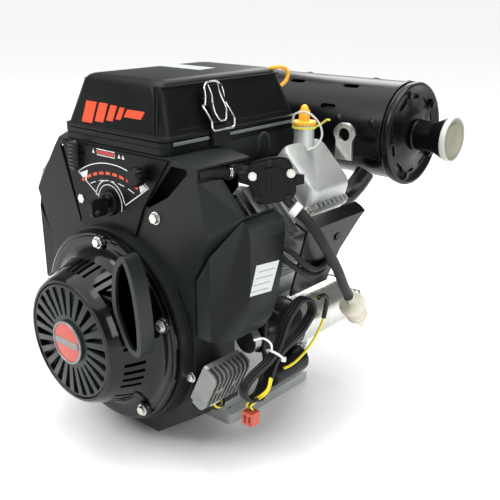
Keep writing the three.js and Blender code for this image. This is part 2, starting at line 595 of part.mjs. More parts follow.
function recoilHousing() {
  const outside = [[RECOIL_RADIUS, COLLAR_FRONT - GAP], [RECOIL_RADIUS, -169], [118, -171], [106, -171.5],
    [93, -180], [88, -200], [81, -221], [75, RECOIL_FRONT], [26, RECOIL_FRONT], [20, RECOIL_FRONT - 3],
    [0.01, RECOIL_FRONT - 3]];
  const inside = [[0.01, -190], [7, -190], [7, -225], [73, -225], [78, -220], [85, -199], [90, -178],
    [104, -168], [104, COLLAR_FRONT - GAP]];
  const shell = turned(loop([...outside, ...inside]), "y", [0, CRANK_Z], 28);
  const slots = around(16, (angle) =>
    spun(box(32, 66, RECOIL_FRONT - 1, -224, CRANK_Z - 4, CRANK_Z + 4), angle));
  const louvres = around(10, (angle) =>
    spun(box(70, 100, -214, -188, CRANK_Z - 15, CRANK_Z + 15), angle), Math.PI / 10);
  const ears = around(5, (angle) =>
    disc("y", 9, -176, -168, [113 * Math.cos(angle), CRANK_Z + 113 * Math.sin(angle)], 6), Math.PI / 2);
  const ropeHole = box(30, 70, ROPE.y - 7, ROPE.y + 7, ROPE.z - 7, ROPE.z + 7);
  add("recoil_housing", cut(join(shell, ears), slots, louvres, ropeHole), glossBlack);
}

function ropeSpool() {
  const profile = [[7.6, -216], [60, -216], [60, -210], [46, -209], [46, -199], [60, -198], [60, -193],
    [7.6, -193]];
  add("rope_spool", turned(loop(profile), "y", [0, CRANK_Z], 20), greyPlastic);
}

// The grip is a leaning loop beside the cone. Its rope runs level out of the housing above the spool.
const GRIP = [[91.5, 278.5], [80, 265], [74.5, 246], [72.5, 221], [75.5, 204], [83, 187.5], [92, 171.5],
  [102, 163.5], [114, 163.7], [118, 174], [118.5, 198], [115.5, 227.5], [111, 250], [105.5, 266], [99.5, 276]];
const GRIP_THICKNESS = 7;

function pullHandle() {
  const frame = prism(GRIP, "y", ROPE.y - 10, ROPE.y + 10, { holes: [inset(GRIP, GRIP_THICKNESS)] });
  const boss = disc("x", 8, 69.5, 76, [ROPE.y, ROPE.z], 14);
  const rope = disc("x", ROPE.radius, -42, 72, [ROPE.y, ROPE.z], 8);
  add("pull_handle", join(frame, boss, rope), blackPlastic);
}

function flywheel() {
  const axis = [0, CRANK_Z];
  const wheel = [[17.6, -110], [30, -110], [30, -94], [102, -94], [102, -111], [118, -111], [118, -78],
    [122, -78], [122, -68], [102, -68], [102, -84], [32, -84], [32, -68], [17.6, -68]];
  add("flywheel", turned(loop(wheel), "y", axis, 28), machinedSteel);
  const plate = turned(loop([[18, -116], [98, -116], [98, -111.5], [18, -111.5]]), "y", axis, 24);
  const blades = around(12, (angle) =>
    spun(box(48, 97, -142, -115, CRANK_Z - 1.5, CRANK_Z + 1.5), angle));
  const hub = turned(loop([[18, -145], [40, -145], [52, -114], [18, -114]]), "y", axis, 20);
  add("cooling_fan", join(plate, blades, hub), blackPlastic);
  const cup = [[9.6, -149], [9.6, -146], [38, -146], [38, -172], [35, -172], [35, -149]];
  add("starter_cup", turned(loop(cup), "y", axis, 20), blackEnamel);
}

// --- electric start and charging -------------------------------------------------------------------------

function starter() {
  const { x, z, radius, front, rear } = STARTER;
  const shape = [[0, front], [22, front], [28, front + 14], [radius, front + 20], [radius, rear - 6],
    [radius - 5, rear], [0, rear]];
  const body = turned(shape, "y", [x, z], 24);
  const tab = cut(box(x + 8, x + 44, rear - 3, rear + 1, z + 12, z + 22),
    disc("y", 3, rear - 4, rear + 2, [x + 38, z + 17], 10));
  add("starter_motor", join(body, tab), zincSteel);
  const pinion = [[0, -66], [17, -66], [17, -54.5], [9, -53.5], [9, front - GAP], [0, front - GAP]];
  add("starter_pinion", turned(pinion, "y", [x, z], 20), machinedSteel);
  const can = turned([[0, -40], [17, -40], [18, -36], [18, 24], [12, 29], [0, 29]], "y", [154, 85], 20);
  const terminals = [88, 99].map((height) => bar([154, 28, height], [154, 40, height], 4, 8));
  add("starter_solenoid", join(can, terminals), blackEnamel);
}

const REGULATOR = { at: [141.4, -128, 120.3], tilt: 0.44, halfLength: 30, halfHeight: 29 };

function voltageRegulator() {
  const group = new THREE.Group();
  group.position.set(...REGULATOR.at);
  group.rotation.y = REGULATOR.tilt;
  engine.add(group);
  const { halfLength, halfHeight } = REGULATOR;
  const plate = box(4, 10, -halfLength, halfLength, -halfHeight, halfHeight);
  const fin = [[9, -halfHeight], [22, -halfHeight], [28, 8 - halfHeight], [28, halfHeight - 8],
    [22, halfHeight], [9, halfHeight]];
  const fins = Array.from({ length: 9 }, (_, i) => {
    const front = 7.2 * i - halfLength;
    return prism(fin, "y", front, front + 2.4);
  });
  add("voltage_regulator", join(plate, fins), castAluminium, group);
}

function oilFilter() {
  const profile = [[0, -174], [33, -174], [37, -168], [37, -106], [34, -103], [0, -103]];
  add("oil_filter", turned(profile, "x", [30, 92], 24), blackEnamel);
}

// --- exhaust ---------------------------------------------------------------------------------------------

function exhaust() {
  const { y, z, radius, left, right } = MUFFLER;
  const axis = [y, z];
  const can = [[0.01, left], [radius - 6, left], [radius, left + 6], [radius, right], [radius - 2, right],
    [radius - 2, left + 8], [0.01, left + 3]];
  const shell = turned(loop(can), "x", axis, 28);
  const inlets = [[-100, 140, 326], [172, 140, 326]].map(([x, py, pz]) =>
    bar([x, py, pz], [x, y, z], 14, 16));
  const strut = [[124, 280], [156, 306], [168, 318], [162, 322], [150, 312], [124, 288]];
  const bracket = prism(strut, "x", -12, 12);
  add("muffler_body", join(cut(shell, inlets), bracket), blackEnamel);

  const wrap = [];
  for (let i = 0; i <= 18; i++) wrap.push(((-24 + 13.2 * i) * Math.PI) / 180);
  const arc = (r, angles) => angles.map((angle) => [y - r * Math.cos(angle), z + r * Math.sin(angle)]);
  const section = [...arc(radius + 4.8, wrap), ...arc(radius + 2.4, [...wrap].reverse())];
  const skin = prism(section, "x", left + 14, 200);
  const slots = [-80, 10, 100].flatMap((x) => [30, 62, 94].map((degrees, row) => {
    const reach = radius + 4;
    return box(x + 18 * row, x + 24 + 18 * row, -3.5, 3.5, reach - 6, reach + 6)
      .rotate([90 - degrees, 0, 0])
      .translate([0, y, z]);
  }));
  add("heat_shield", cut(skin, slots), blackEnamel);

  const lid = [[20, right + GAP], [radius + 4, right + GAP], [radius + 5, right + 6], [radius, right + 8],
    [radius - 8, right + 5], [20, right + 5]];
  add("muffler_end_cap", turned(loop(lid), "x", axis, 28), blackEnamel);
  const pipe = [[16, right - 30], [19, right - 30], [19, right + 40], [27, right + 57], [25, right + 57],
    [16.5, right + 38]];
  add("tail_pipe", turned(loop(pipe), "x", axis, 20), blackEnamel);
  const cap = [[0, right + 56], [23, right + 56], [23, right + 57 + GAP], [29, right + 57 + GAP],
    [29, right + 66], [0, right + 68]];
  add("tail_pipe_cap", turned(cap, "x", axis, 22), clearPlastic);
}

function exhaustPipes() {
  const routes = {
    right: [[161, 86.5, 290], [162, 100, 291], [165, 116, 299], [170, 130, 313], [172.5, 137, 322.5]],
    left: [[-161, 58.5, 290], [-161, 84, 290], [-152, 108, 298], [-126, 124, 306], [-105, 134, 318]],
  };
  SIDES.forEach(({ name }) => add("exhaust_pipe_" + name, tube(routes[name], 13, 12, 10), blackEnamel));
}

function liftingEye() {
  const eye = [[-12, 0], [12, 0], [12, 24], ...circle(0, 30, 17, 16).filter(([, b]) => b > 28), [-12, 24]];
  const plate = prism(eye.map(([a, b]) => [a + 168, b + 346]), "y", 89, 94,
    { holes: [circle(168, 378, 8.5, 12)] });
  add("lifting_eye", plate, zincSteel);
}

// --- wiring ----------------------------------------------------------------------------------------------

// The spare harness is folded into a hank and tied beside the starter motor.
const HANK = { top: [205, -26, 199], low: [192, -123, 101], halfWidth: 17, halfDepth: 9 };
const HARNESS_LEAD = [[172, -64, 192], [172.5, -66, 180], [175, -70, 168], [179, -75, 158], [182, -81, 148]];
const STOP_LEAD = [[206, -6, 196], [207, 4, 196], [205, 13, 190], [202, 17, 178], [200, 15, 160],
  [198, 6, 142], [196, -10, 126], [194, -28, 116], [192, -42, 112], [191, -52, 112]];

function wiring() {
  const [top, low] = [new THREE.Vector3(...HANK.top), new THREE.Vector3(...HANK.low)];
  const half = top.distanceTo(low) / 2;
  const { halfWidth, halfDepth } = HANK;
  const outline = rectangle(-halfWidth, halfWidth, -half, half, halfWidth - 1);
  const shape = prism(outline, "z", -halfDepth, halfDepth);
  const along = top.clone().sub(low).normalize();
  const outward = new THREE.Vector3(0.86, -0.3, 0);
  const face = outward.addScaledVector(along, -along.dot(outward)).normalize();
  const group = new THREE.Group();
  group.position.copy(top).add(low).multiplyScalar(0.5);
  group.quaternion.setFromRotationMatrix(
    new THREE.Matrix4().makeBasis(new THREE.Vector3().crossVectors(along, face), along, face));
  engine.add(group);
  add("harness_hank", shape, blackRubber, group);
  add("harness_lead", tube(HARNESS_LEAD, 4.5, 8, 8), blackRubber);
  add("harness_connector", box(183, 200, -122, -107, 63, 81), redPlastic);
  add("stop_lead", tube(STOP_LEAD, 3, 8, 16), yellowWire);
}

crankcase();
crankcaseCover();
crankshaft();
camshaft();
SIDES.forEach((bank) => {
  piston(bank);
  connectingRod(bank);
  cylinder(bank);
  cylinderHead(bank);
  valveCover(bank);
  cylinderBaffle(bank);
  sideCasing(bank);
  latch(bank);
});
oilFillerCap();
blowerHousing();
controlPanel();
controls();
airCleaner();
carburettor();
intakeManifold();
fuelPump();
hoses();
recoilHousing();
ropeSpool();
pullHandle();
flywheel();
starter();
voltageRegulator();
oilFilter();
exhaust();
exhaustPipes();
liftingEye();
wiring();

export default engine;
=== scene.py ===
"""Looks of a horizontal-shaft V-twin petrol engine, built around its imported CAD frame.

Shapes are written in millimetres in the CAD's own axes: X right, Y along the crankshaft to the rear, Z up.
They are scaled by MM when they become Blender meshes.
"""
import math

import bmesh
import bpy
from mathutils import Matrix, Vector


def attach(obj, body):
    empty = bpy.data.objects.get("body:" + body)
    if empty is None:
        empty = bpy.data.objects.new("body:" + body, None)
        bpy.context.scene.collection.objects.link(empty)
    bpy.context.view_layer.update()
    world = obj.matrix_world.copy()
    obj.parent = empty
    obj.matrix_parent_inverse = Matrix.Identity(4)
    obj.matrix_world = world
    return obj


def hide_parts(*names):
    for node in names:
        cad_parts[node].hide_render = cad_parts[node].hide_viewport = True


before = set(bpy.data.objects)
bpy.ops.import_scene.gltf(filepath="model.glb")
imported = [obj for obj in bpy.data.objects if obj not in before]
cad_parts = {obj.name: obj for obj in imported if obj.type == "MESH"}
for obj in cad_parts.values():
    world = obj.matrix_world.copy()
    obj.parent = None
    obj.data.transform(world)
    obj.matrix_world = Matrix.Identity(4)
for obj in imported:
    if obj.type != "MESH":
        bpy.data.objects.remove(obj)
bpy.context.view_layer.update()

MM = 0.001
CRANK_Z = 151.0
BANKS = {"right": (1, 40.0), "left": (-1, 12.0)}  # side, and place along the crankshaft
HOUSING_FRONT = -150.0
COLLAR_FRONT = -163.0
CLEANER = {"low": 392.0, "top": 455.5, "front": -145.0, "rear": 92.0, "half": 91.5, "draft": 14.0}
MUFFLER = {"y": 189.0, "z": 370.0, "radius": 62.0, "right": 205.0}
STARTER = {"x": 140.0, "z": 138.0, "radius": 35.0}


# --- camera -------------------------------------------------------------------------------------------

def make_camera():
    place = Vector((0.70107, -0.69401, 0.553))
    azimuth, elevation = math.radians(41.45), math.radians(20.06)
    back = Vector((math.sin(azimuth) * math.cos(elevation), -math.cos(azimuth) * math.cos(elevation),
                   math.sin(elevation)))
    data = bpy.data.cameras.new("camera")
    data.sensor_width = 36
    data.lens = 53.82
    data.shift_x = 0.001
    data.shift_y = 0.0197
    data.clip_end = 200
    camera = bpy.data.objects.new("camera", data)
    camera.location = place
    camera.rotation_mode = "QUATERNION"
    camera.rotation_quaternion = (-back).to_track_quat("-Z", "Y")
    bpy.context.scene.collection.objects.link(camera)
    bpy.context.scene.camera = camera


make_camera()


# --- materials ----------------------------------------------------------------------------------------

def surface(name, dark, light, roughness, grain=900.0, bump=0.05, metallic=0.0, coat=0.0, patches=14.0,
            rough_spread=0.12, stretch=(1, 1, 1), sheen=0.0, specular=0.5, transmission=0.0, edge_wear_and_highlight=0.0,
            edge_wear_and_highlight_colour=(0.5, 0.5, 0.5), coat_roughness=0.08):
    """A finish with soft patches, fine grain in its colour, roughness and bump, and optional lighter convex
    edges: a painted edge highlight, together with edge wear.
    """
    made = bpy.data.materials.new(name)
    made.use_nodes = True
    nodes, links = made.node_tree.nodes, made.node_tree.links
    shader = nodes["Principled BSDF"]
    where = nodes.new("ShaderNodeTexCoord")
    mapping = nodes.new("ShaderNodeMapping")
    mapping.inputs["Scale"].default_value = stretch
    links.new(where.outputs["Object"], mapping.inputs["Vector"])
    broad = nodes.new("ShaderNodeTexNoise")
    broad.inputs["Scale"].default_value = patches
    broad.inputs["Detail"].default_value = 5
    links.new(mapping.outputs["Vector"], broad.inputs["Vector"])
    fine = nodes.new("ShaderNodeTexNoise")
    fine.inputs["Scale"].default_value = grain
    fine.inputs["Detail"].default_value = 3
    links.new(mapping.outputs["Vector"], fine.inputs["Vector"])
    both = nodes.new("ShaderNodeMath")
    both.operation = "MULTIPLY_ADD"
    both.inputs[1].default_value = 0.45
    links.new(fine.outputs["Fac"], both.inputs[0])
    half = nodes.new("ShaderNodeMath")
    half.operation = "MULTIPLY"
    half.inputs[1].default_value = 0.55
    links.new(broad.outputs["Fac"], half.inputs[0])
    links.new(half.outputs[0], both.inputs[2])
    ramp = nodes.new("ShaderNodeValToRGB")
    ramp.color_ramp.elements[0].position = 0.36
    ramp.color_ramp.elements[1].position = 0.66
    ramp.color_ramp.elements[0].color = (*dark, 1)
    ramp.color_ramp.elements[1].color = (*light, 1)
    links.new(both.outputs[0], ramp.inputs["Fac"])
    colour = ramp.outputs["Color"]
    # Convex edges (Pointiness) are mixed towards a lighter colour: a painted highlight along the rounded
    # edges, together with edge wear.
    if edge_wear_and_highlight:
        geometry = nodes.new("ShaderNodeNewGeometry")
        edge = nodes.new("ShaderNodeMapRange")
        edge.inputs["From Min"].default_value = 0.56
        edge.inputs["From Max"].default_value = 0.68
        edge.inputs["To Max"].default_value = edge_wear_and_highlight
        links.new(geometry.outputs["Pointiness"], edge.inputs["Value"])
        mix = nodes.new("ShaderNodeMix")
        mix.data_type = "RGBA"
        links.new(edge.outputs["Result"], mix.inputs["Factor"])
        links.new(colour, mix.inputs["A"])
        mix.inputs["B"].default_value = (*edge_wear_and_highlight_colour, 1)
        colour = mix.outputs["Result"]
    links.new(colour, shader.inputs["Base Color"])
    rough = nodes.new("ShaderNodeMapRange")
    rough.inputs["To Min"].default_value = max(0.02, roughness - rough_spread)
    rough.inputs["To Max"].default_value = min(1.0, roughness + rough_spread)
    links.new(both.outputs[0], rough.inputs["Value"])
    links.new(rough.outputs["Result"], shader.inputs["Roughness"])
    relief = nodes.new("ShaderNodeBump")
    relief.inputs["Strength"].default_value = 1.0
    relief.inputs["Distance"].default_value = bump * MM
    links.new(fine.outputs["Fac"], relief.inputs["Height"])
    links.new(relief.outputs["Normal"], shader.inputs["Normal"])
    shader.inputs["Metallic"].default_value = metallic
    shader.inputs["Coat Weight"].default_value = coat
    shader.inputs["Coat Roughness"].default_value = coat_roughness
    shader.inputs["Sheen Weight"].default_value = sheen
    shader.inputs["Specular IOR Level"].default_value = specular
    shader.inputs["Transmission Weight"].default_value = transmission
    return made


MAT = {
    "plastic": surface(
        "moulded_black_plastic", (0.0016, 0.0022, 0.0022), (0.0046, 0.0060, 0.0058), 0.40, grain=1500,
        bump=0.05, edge_wear_and_highlight=0.6, edge_wear_and_highlight_colour=(0.03, 0.036, 0.037), specular=0.19),
    "panel": surface(
        "panel_black_plastic", (0.0015, 0.0020, 0.0016), (0.0040, 0.0050, 0.0042), 0.36, grain=1700,
        bump=0.035, edge_wear_and_highlight=0.5, edge_wear_and_highlight_colour=(0.028, 0.033, 0.03), specular=0.15),
    "gloss": surface(
        "gloss_black_paint", (0.0012, 0.0012, 0.0014), (0.0030, 0.0030, 0.0032), 0.16, grain=300,
        bump=0.015, coat=0.25, rough_spread=0.06, coat_roughness=0.05, specular=0.2),
    "enamel": surface(
        "black_enamel", (0.0012, 0.0014, 0.0014), (0.0034, 0.0038, 0.0038), 0.30, grain=500, bump=0.03,
        coat=0.06, edge_wear_and_highlight=0.6, edge_wear_and_highlight_colour=(0.045, 0.045, 0.045), rough_spread=0.1, specular=0.22),
    "rubber": surface(
        "black_rubber", (0.0035, 0.0042, 0.0042), (0.0090, 0.0105, 0.0105), 0.58, grain=1100, bump=0.06,
        sheen=0.05, specular=0.3),
    "sleeve": surface(
        "wire_sleeve", (0.0030, 0.0032, 0.0034), (0.010, 0.0105, 0.011), 0.40, grain=1600, bump=0.09,
        stretch=(1, 1, 2.2), specular=0.35),
    "grip": surface(
        "grip_plastic", (0.0055, 0.0080, 0.0080), (0.016, 0.021, 0.021), 0.34, grain=1300, bump=0.04,
        edge_wear_and_highlight=0.6, edge_wear_and_highlight_colour=(0.05, 0.06, 0.06), specular=0.35),
    "cast": surface(
        "cast_aluminium", (0.42, 0.44, 0.43), (0.60, 0.62, 0.60), 0.46, grain=1000, bump=0.12,
        metallic=0.75, patches=22, edge_wear_and_highlight=0.5, edge_wear_and_highlight_colour=(0.74, 0.75, 0.73)),
    "steel": surface(
        "machined_steel", (0.28, 0.29, 0.30), (0.44, 0.45, 0.46), 0.3, grain=700, bump=0.02, metallic=1.0,
        stretch=(1, 6, 1)),
    "zinc": surface(
        "bright_zinc", (0.52, 0.53, 0.49), (0.72, 0.72, 0.68), 0.22, grain=260, bump=0.015, metallic=1.0,
        stretch=(1, 5, 1), patches=30),
    "bolt": surface(
        "bolt_zinc", (0.58, 0.58, 0.54), (0.80, 0.80, 0.76), 0.25, grain=600, bump=0.03, metallic=0.9,
        patches=60),
    "chrome": surface(
        "latch_wire", (0.55, 0.56, 0.57), (0.78, 0.79, 0.80), 0.18, grain=900, bump=0.01, metallic=1.0),
    "fin": surface(
        "regulator_aluminium", (0.20, 0.21, 0.20), (0.33, 0.34, 0.33), 0.4, grain=900, bump=0.05,
        metallic=0.7, patches=40),
    "filter_body": surface(
        "filter_plastic", (0.72, 0.68, 0.52), (0.86, 0.83, 0.70), 0.4, grain=400, bump=0.02,
        transmission=0.25, patches=40),
    "cap_cream": surface(
        "outlet_cap", (0.20, 0.20, 0.14), (0.31, 0.30, 0.22), 0.55, grain=1400, bump=0.12, patches=40),
    "cap_rim": surface(
        "outlet_cap_rim", (0.42, 0.45, 0.41), (0.58, 0.61, 0.57), 0.4, grain=900, bump=0.04),
    "paper": surface("filter_paper", (0.50, 0.44, 0.28), (0.68, 0.61, 0.42), 0.9, grain=1200, bump=0.2),
    "orange": surface(
        "orange_cap", (0.80, 0.36, 0.01), (0.93, 0.50, 0.03), 0.38, grain=700, bump=0.03, patches=50),
    "strap": surface("yellow_strap", (0.62, 0.58, 0.05), (0.74, 0.70, 0.10), 0.42, grain=700, bump=0.03),
    "clear": surface(
        "clear_tie", (0.66, 0.70, 0.68), (0.82, 0.85, 0.83), 0.3, grain=500, bump=0.02,
        transmission=0.35),
    "white": surface("white_nylon", (0.70, 0.71, 0.70), (0.84, 0.85, 0.84), 0.45, grain=800, bump=0.03),
    "label": surface("label_film", (0.50, 0.54, 0.54), (0.60, 0.64, 0.64), 0.32, grain=600, bump=0.01),
    "ink": surface("label_ink", (0.22, 0.24, 0.24), (0.32, 0.34, 0.34), 0.4, grain=900, bump=0.01),
    "print_white": surface(
        "print_white", (0.66, 0.68, 0.66), (0.78, 0.80, 0.78), 0.4, grain=900, bump=0.01),
    "print_red": surface(
        "print_red", (0.36, 0.022, 0.014), (0.46, 0.04, 0.024), 0.4, grain=900, bump=0.01),
    "print_orange": surface(
        "print_orange", (0.62, 0.055, 0.012), (0.74, 0.085, 0.02), 0.42, grain=900, bump=0.02),
    "badge": surface(
        "badge_red", (0.46, 0.03, 0.012), (0.56, 0.05, 0.02), 0.3, grain=500, bump=0.01, coat=0.3),
    "badge_band": surface(
        "badge_band", (0.16, 0.15, 0.14), (0.26, 0.25, 0.24), 0.35, grain=500, bump=0.01),
    "trim": surface("tray_lip", (0.11, 0.13, 0.13), (0.17, 0.19, 0.19), 0.38, grain=900, bump=0.03),
    "yellow": surface("yellow_wire", (0.78, 0.62, 0.01), (0.90, 0.76, 0.02), 0.4, grain=600, bump=0.02),
    "red": surface(
        "red_connector", (0.46, 0.06, 0.035), (0.58, 0.10, 0.06), 0.4, grain=700, bump=0.03, patches=70),
}


# --- shapes -------------------------------------------------------------------------------------------
# A shape is a pair of lists: its vertices, in millimetres, and its faces.

def to_space(axis, a, b, along):
    """An outline point and its place along the axis, as (x, y, z). For y, the outline is (x, z)."""
    if axis == "x":
        return (along, a, b)
    if axis == "y":
        return (a, along, b)
    return (a, b, along)


def loft(rings, close=True):
    """A closed shape through rings of equally many points."""
    count = len(rings[0])
    vertices = [point for ring in rings for point in ring]
    faces = []
    for level in range(len(rings) - 1):
        low, high = level * count, (level + 1) * count
        for i in range(count):
            j = (i + 1) % count
            faces.append((low + i, low + j, high + j, high + i))
    if close:
        faces.append(tuple(reversed(range(count))))
        faces.append(tuple(range((len(rings) - 1) * count, len(rings) * count)))
    return vertices, faces


def prism(outline, axis, start, end, end_outline=None):
    finish = end_outline or outline
    return loft([[to_space(axis, a, b, start) for a, b in outline],
                 [to_space(axis, a, b, end) for a, b in finish]])


def block(x0, x1, y0, y1, z0, z1):
    return prism([(x0, y0), (x1, y0), (x1, y1), (x0, y1)], "z", z0, z1)


def arc(a, b, radius, start, end, steps):
    """Points on an arc, with its angles in degrees."""
    angles = [math.radians(start + (end - start) * i / steps) for i in range(steps + 1)]
    return [(a + radius * math.cos(t), b + radius * math.sin(t)) for t in angles]


def circle(a, b, radius, sides=32):
    return arc(a, b, radius, 0, 360 * (sides - 1) / sides, sides - 1)


def disc(axis, radius, start, end, centre=(0, 0), sides=32):
    return prism(circle(*centre, radius, sides), axis, start, end)


def rounded(a0, a1, b0, b1, corner, steps=5):
    """A rectangle with round corners, anticlockwise."""
    return (arc(a1 - corner, b1 - corner, corner, 0, 90, steps)
            + arc(a0 + corner, b1 - corner, corner, 90, 180, steps)
            + arc(a0 + corner, b0 + corner, corner, 180, 270, steps)
            + arc(a1 - corner, b0 + corner, corner, 270, 360, steps))


def turned(profile, axis, centre=(0, 0), sides=48):
    """A turned shape from (radius, place) points. A profile that starts off the axis closes on itself."""
    on_axis = profile[0][0] == 0
    vertices, faces = [], []
    rings = []
    for radius, along in profile:
        if radius == 0:
            rings.append([len(vertices)] * sides)
            vertices.append(to_space(axis, centre[0], centre[1], along))
            continue
        rings.append(list(range(len(vertices), len(vertices) + sides)))
        for i in range(sides):
            angle = 2 * math.pi * i / sides
            vertices.append(to_space(axis, centre[0] + radius * math.cos(angle),
                                     centre[1] + radius * math.sin(angle), along))
    pairs = list(zip(rings, rings[1:]))
    if not on_axis:
        pairs.append((rings[-1], rings[0]))
    for low, high in pairs:
        for i in range(sides):
            j = (i + 1) % sides
            corners = list(dict.fromkeys((low[i], low[j], high[j], high[i])))
            if len(corners) > 2:
                faces.append(tuple(corners))
    return vertices, faces


def moved(shape, by):
    return [(x + by[0], y + by[1], z + by[2]) for x, y, z in shape[0]], shape[1]


def turned_by(shape, degrees, axis, centre=(0, 0, 0)):
    spin = Matrix.Rotation(math.radians(degrees), 3, axis.upper())
    middle = Vector(centre)
    return [tuple(spin @ (Vector(p) - middle) + middle) for p in shape[0]], shape[1]


def mirrored(shape):
    return [(-x, y, z) for x, y, z in shape[0]], [tuple(reversed(face)) for face in shape[1]]


def together(*shapes):
    """Several shapes as one list of vertices and faces."""
    vertices, faces = [], []
    for points, loops in shapes:
        start = len(vertices)
        vertices += list(points)
        faces += [tuple(start + i for i in loop) for loop in loops]
    return vertices, faces


def spun(shape, degrees):
    """Turned about the crankshaft axis."""
    return turned_by(shape, -degrees, "y", (0, 0, CRANK_Z))


def placed(shape, matrix):
    return [tuple(matrix @ Vector(p)) for p in shape[0]], shape[1]


def bank_matrix(bank):
    """From a bank's own frame, in which Z is its cylinder's axis, to the engine's."""
    side, y = BANKS[bank]
    return Matrix.Translation((0, y, CRANK_Z)) @ Matrix.Rotation(side * math.radians(45), 4, "Y")


# --- pieces -------------------------------------------------------------------------------------------

def mesh_from(name, shape):
    mesh = bpy.data.meshes.new(name)
    mesh.from_pydata([(x * MM, y * MM, z * MM) for x, y, z in shape[0]], [], shape[1])
    build = bmesh.new()
    build.from_mesh(mesh)
    bmesh.ops.remove_doubles(build, verts=build.verts, dist=1e-7)
    bmesh.ops.recalc_face_normals(build, faces=build.faces)
    build.to_mesh(mesh)
    build.free()
    return mesh


def apply_modifiers(obj):
    graph = bpy.context.evaluated_depsgraph_get()
    baked = bpy.data.meshes.new_from_object(obj.evaluated_get(graph))
    obj.modifiers.clear()
    obj.data = baked


def combine(obj, shapes, operation):
    helpers = []
    for shape in shapes:
        helper = bpy.data.objects.new("helper", mesh_from("helper", shape))
        bpy.context.scene.collection.objects.link(helper)
        modifier = obj.modifiers.new("combine", "BOOLEAN")
        modifier.operation = operation
        modifier.solver = "EXACT"
        modifier.use_self = True
        modifier.object = helper
        helpers.append(helper)
    apply_modifiers(obj)
    for helper in helpers:
        bpy.data.objects.remove(helper)


def soften(obj, bevel, segments=2, angle=32):
    """Rounds the edges of a piece and shades it smoothly."""
    obj.data.polygons.foreach_set("use_smooth", [True] * len(obj.data.polygons))
    obj.data.set_sharp_from_angle(angle=math.radians(angle))
    if bevel:
        modifier = obj.modifiers.new("edges", "BEVEL")
        modifier.width = bevel * MM
        modifier.segments = segments
        modifier.limit_method = "ANGLE"
        modifier.angle_limit = math.radians(angle)
        modifier.harden_normals = True


def piece(name, shape, material, body="root", replaces=(), cuts=(), joins=(), bevel=0.6, segments=2,
          angle=32):
    """A finished piece: a shape with others joined to it and cut from it, with rounded edges."""
    obj = bpy.data.objects.new(name, mesh_from(name, shape))
    bpy.context.scene.collection.objects.link(obj)
    if joins:
        combine(obj, joins, "UNION")
    if cuts:
        combine(obj, cuts, "DIFFERENCE")
    soften(obj, bevel, segments, angle)
    obj.data.materials.clear()
    obj.data.materials.append(MAT[material])
    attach(obj, body)
    if replaces:
        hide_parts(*replaces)
    return obj


def route(points, per_leg=8):
    """A smooth line through points, in millimetres."""
    full = [Vector(points[0]) * 2 - Vector(points[1])] + [Vector(p) for p in points]
    full.append(Vector(points[-1]) * 2 - Vector(points[-2]))
    line = []
    for i in range(1, len(full) - 2):
        before, start, end, after = full[i - 1:i + 3]
        for step in range(per_leg):
            t = step / per_leg
            line.append(0.5 * (2 * start + (end - before) * t + (2 * before - 5 * start + 4 * end - after)
                               * t * t + (3 * start - before - 3 * end + after) * t ** 3))
    line.append(full[-2])
    return line


def wire(name, points, radius, material, body="root", replaces=(), smooth=True, per_leg=8, sides=6):
    """A round wire, tube or cord along a line."""
    data = bpy.data.curves.new(name, "CURVE")
    data.dimensions = "3D"
    data.bevel_depth = radius * MM
    data.bevel_resolution = sides
    data.use_fill_caps = True
    line = route(points, per_leg) if smooth else [Vector(p) for p in points]
    spline = data.splines.new("POLY")
    spline.points.add(len(line) - 1)
    for point, place in zip(spline.points, line):
        point.co = (*(place * MM), 1)
    spline.use_smooth = True
    obj = bpy.data.objects.new(name, data)
    bpy.context.scene.collection.objects.link(obj)
    data.materials.append(MAT[material])
    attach(obj, body)
    if replaces:
        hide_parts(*replaces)
    return obj


def hexagon_bolt(axis, place, across=10.0, head=5.0, flange=0.0, outward=-1):
    """A hexagon head, with an optional round flange below it. Its seat is at place."""
    along = {"x": 0, "y": 1, "z": 2}[axis]
    flat = [place[i] for i in range(3) if i != along]
    seat = place[along]
    parts = [prism(circle(*flat, across / math.sqrt(3), 6), axis, seat, seat + outward * head)]
    if flange:
        parts.append(disc(axis, flange, seat, seat + outward * 1.6, flat, 24))
    return together(*parts)


# --- cords --------------------------------------------------------------------------------------------

FUEL_HOSE = [(199, -51, 318.6), (206, -47, 312.5), (214, -45, 306), (223, -43, 297), (229, -35, 281),
             (230, -19, 260), (227, 2, 235), (220.5, 25, 208), (215, 42, 190), (212.5, 52.4, 179.2)]
FILTER = {"at": (212, 55, 176), "lean": 0.6}
HANK = {"top": Vector((205, -26, 199)), "low": Vector((192, -123, 101))}
HARNESS_LEAD = [(172, -64, 192), (172.5, -66, 180), (175, -70, 168), (179, -75, 158), (182, -81, 148)]
STOP_LEAD = [(206, -6, 196), (207, 4, 196), (205, 13, 190), (202, 17, 178), (200, 15, 160), (198, 6, 142),
             (196, -10, 126), (194, -28, 116), (192, -42, 112), (191, -52, 112)]
HARNESS_RADIUS = 2.5
CONNECTOR_TOP = Vector((191.5, -114.5, 81.5))


